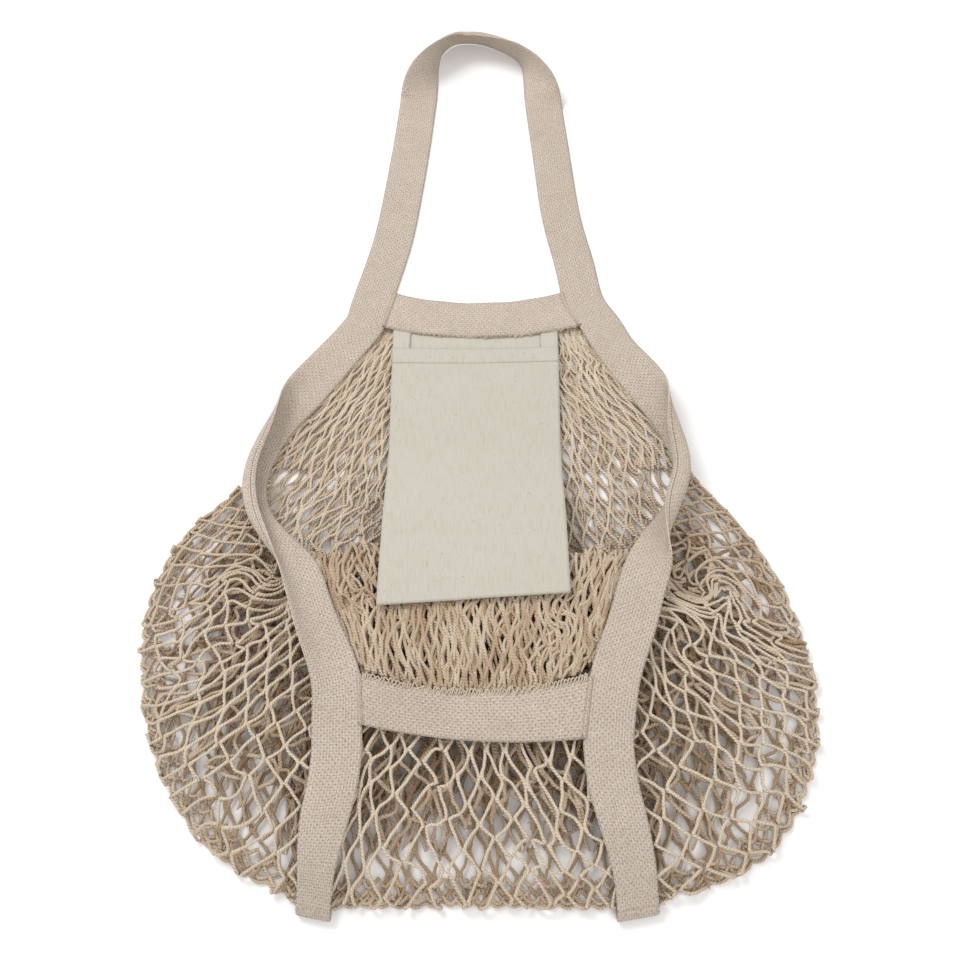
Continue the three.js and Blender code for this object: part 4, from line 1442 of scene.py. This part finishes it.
def rim_net():
    """Strings along the fold at the outline: each runs in shallow scallops from loop to loop, one near the
    outline itself and others a little inside it. A scallop is the size of a sine, one for each column."""
    count, samples = len(RIM["inset"]), 900
    inset, scallop, shift, height = (RIM[key][:, None] for key in ("inset", "scallop", "shift", "height"))
    a = np.linspace(0.045, 0.965, samples)[None, :] + np.zeros((count, 1))
    swing = np.abs(np.sin((a * FRONT_STRINGS + shift) * np.pi))
    depth_in = (inset + scallop * (1 - swing)) * MM
    depth_in = depth_in + 1.2 * MM * value_noise(a * 60, np.arange(count)[:, None] * 3.0, 241)
    _, whole = front_panel(a, 0 * a)
    path, _ = front_panel(a, whole - depth_in)
    path = keep_inside(path, STRING / 2)
    path[..., 2] = (height + 0.8 * value_noise(a * 90, np.arange(count)[:, None] * 5.0, 242)) * MM
    path[..., 2] = np.maximum(path[..., 2], STRING / 2 * 1.05)
    # Painted shade, with some noise.
    shade = 0.4 + 0.2 * value_noise(a * 50, np.arange(count)[:, None] * 7.0, 243)
    used = np.zeros(count, int), np.full(count, samples - 1)
    return string_piece("rim_net_strings", path, used, np.full(a.shape, STRING / 2), shade)


def edge_stitches(name, line, above, seed):
    """The row of loops that holds the net to a band: two strings that zigzag over the band's edge, half a
    loop apart, each a sine along the line with some noise in its place and size."""
    count, samples = 2, 460
    share = np.linspace(0.01, 0.99, samples)[None, :] + np.zeros((count, 1))
    edge_y = parabola(line, share)
    left, right = strap_edge_x(edge_y, -1), strap_edge_x(edge_y, 1)
    x = left + (right - left) * share
    drift = 2.6 * value_noise(share * 22, np.array([[0.0], [5.0]]) + 0 * share, seed + 40)
    phase = share * (right - left) / STITCH_STEP * 2 * np.pi + np.array([0, np.pi])[:, None] + drift
    size = 1 + 0.5 * value_noise(share * 31, np.array([[2.0], [8.0]]) + 0 * share, seed + 41)
    size = size * STITCH_REACH
    y = edge_y + size * np.sin(phase) + 0.9 * MM * value_noise(share * 60, 0 * share, seed)
    z = bed(x, y) + over_turn(y) + TAPE_THICK + 0.45 * MM + 0.5 * MM * np.cos(phase) + above
    used = np.zeros(count, int), np.full(count, samples - 1)
    path = np.stack([x, y, z], axis=-1)
    # A little painted shade.
    return string_piece(name, path, used, np.full(x.shape, STITCH_RADIUS), 0.12 + 0 * x)


rim_strings = rim_net()
front_stitches = edge_stitches("front_band_stitches", FRONT_BAND_TOP, -0.7 * MM, 251)
back_stitches = edge_stitches("back_band_stitches", [y + 2 * MM for y in BACK_BAND_LOW], -2.2 * MM, 252)

# %% [markdown]
# ## Rim and stitches as strings
# The rim's strings and the stitches are no sheets of their own.

# %% [markdown]
# ## The pouch
# The pouch is two walls of plain cloth, sewn together down both sides and along the lower end. The front
# wall ends in a folded hem a little below the band, and above it the side seams run on as two narrow strips
# that frame the back wall.

# %% Pouch walls
POUCH_TOP = BAND_Y + 14 * MM
CLIMB_END = TURN_Y + 14 * MM  # where the pouch has climbed onto the turned part
CLIMB = 95 * MM  # over which it climbs
WALL = 0.9 * MM  # thickness of the canvas
POUCH_SLANT = 11 * MM  # how much further the pouch reaches down at its left edge than at its right one
WALL_ROOM = 1.5 * MM  # height of the front wall over the back one


def pouch_bed(y):
    """What the pouch lies on: the back panel, then the turned part of the front panel. Below its upper end
    it rises by 4.4 mm within 40 mm, from under the band to over the net's strings."""
    climb = 1 - smooth(CLIMB_END, CLIMB_END + CLIMB, y)
    low = back_height(y) + NET_GAP / 2 + 4.4 * MM * smooth(POUCH_TOP, POUCH_TOP - 40 * MM, y) + 0.5 * MM
    high = front_height(0 * y, np.minimum(y, CLIMB_END)) + 2 * TURN_RADIUS + NET_GAP / 2 + 1.2 * MM
    return low + (high - low) * climb


def pouch_grid(u, v, above):
    """A wall of the pouch: u from its left to its right edge, v down its length, above its height over
    the bed. Soft waves run down the cloth."""
    half = POUCH_WIDTH / 2 * (1 - 0.012 * np.sin(np.pi * v) ** 2)
    y = POUCH_TOP - v * (POUCH_LENGTH + (0.5 - u) * POUCH_SLANT)
    y = y - 16 * MM * u * (1 - u) * (1 - v) ** 6
    x = (2 * u - 1) * half + (0.9 - 1.8 * v) * 0.5 * MM
    wave_z = 0.5 * MM * np.sin(7.5 * u + 2.2 * v + 0.6) * np.sin(np.pi * np.clip(v, 0, 1))
    wave_z = wave_z + 0.35 * MM * value_noise(u * 5, v * 7, 51)
    z = pouch_bed(y) + above + wave_z + 0.6 * MM
    return np.stack([x, y, z], axis=-1)


def cloth_uv(u, v):
    """The UV place of a point of the pouch, in millimetres."""
    return np.stack([u * POUCH_WIDTH / MM, v * POUCH_LENGTH / MM], axis=-1)


def wall_piece(name, u_range, v_range, above, counts, thickness=WALL, dome=0.0):
    """A rectangle of the pouch's cloth at a height above its bed. dome: how far its middle stands up."""
    u = np.linspace(*u_range, counts[0])[:, None] + np.zeros((1, counts[1]))
    v = np.linspace(*v_range, counts[1])[None, :] + np.zeros((counts[0], 1))
    s, t = np.linspace(0, 1, counts[0])[:, None], np.linspace(0, 1, counts[1])[None, :]
    lift = dome * np.sin(np.pi * s) ** 0.6 * np.sin(np.pi * t) ** 0.6
    grid = pouch_grid(u, v, above) + np.stack([0 * u, 0 * u, lift + 0 * u], axis=-1)
    piece = cloth_piece(name, grid[::-1], thickness, cloth_uv(u, v)[::-1])
    piece.data.materials.append(CANVAS)
    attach(piece, "root")
    return piece


# %% [markdown]
# ## The pouch's five pieces
# All five are rectangles of the same surface: u runs across the pouch and v down it, both from 0 to 1.
# The hem and the side strips are laid on as pieces of their own, since their edges show in the photograph.

# %% Pouch pieces
HEM_TOP = 29 * MM / POUCH_LENGTH  # share of the pouch's length down to the front wall's upper edge
HEM_END = 45 * MM / POUCH_LENGTH  # and down to the hem's seam
STRIP = 16 * MM / POUCH_WIDTH
STRIP_V = (0, HEM_TOP * 1.04)

wall_piece("pouch_back_wall", (0.002, 0.998), (0, 0.999), 0.0, (60, 110))
pouch_front = wall_piece("pouch_front_wall", (0, 1), (HEM_TOP, 1), WALL_ROOM, (60, 110), dome=0.8 * MM)
wall_piece("pouch_side_left", (0, STRIP), STRIP_V, WALL_ROOM, (8, 10))
wall_piece("pouch_side_right", (1 - STRIP, 1), STRIP_V, WALL_ROOM, (8, 10))
wall_piece("pouch_hem", (0, 1), (HEM_TOP * 0.97, HEM_END), 2.05 * MM, (60, 9), thickness=0.7 * MM)
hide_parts("pouch")
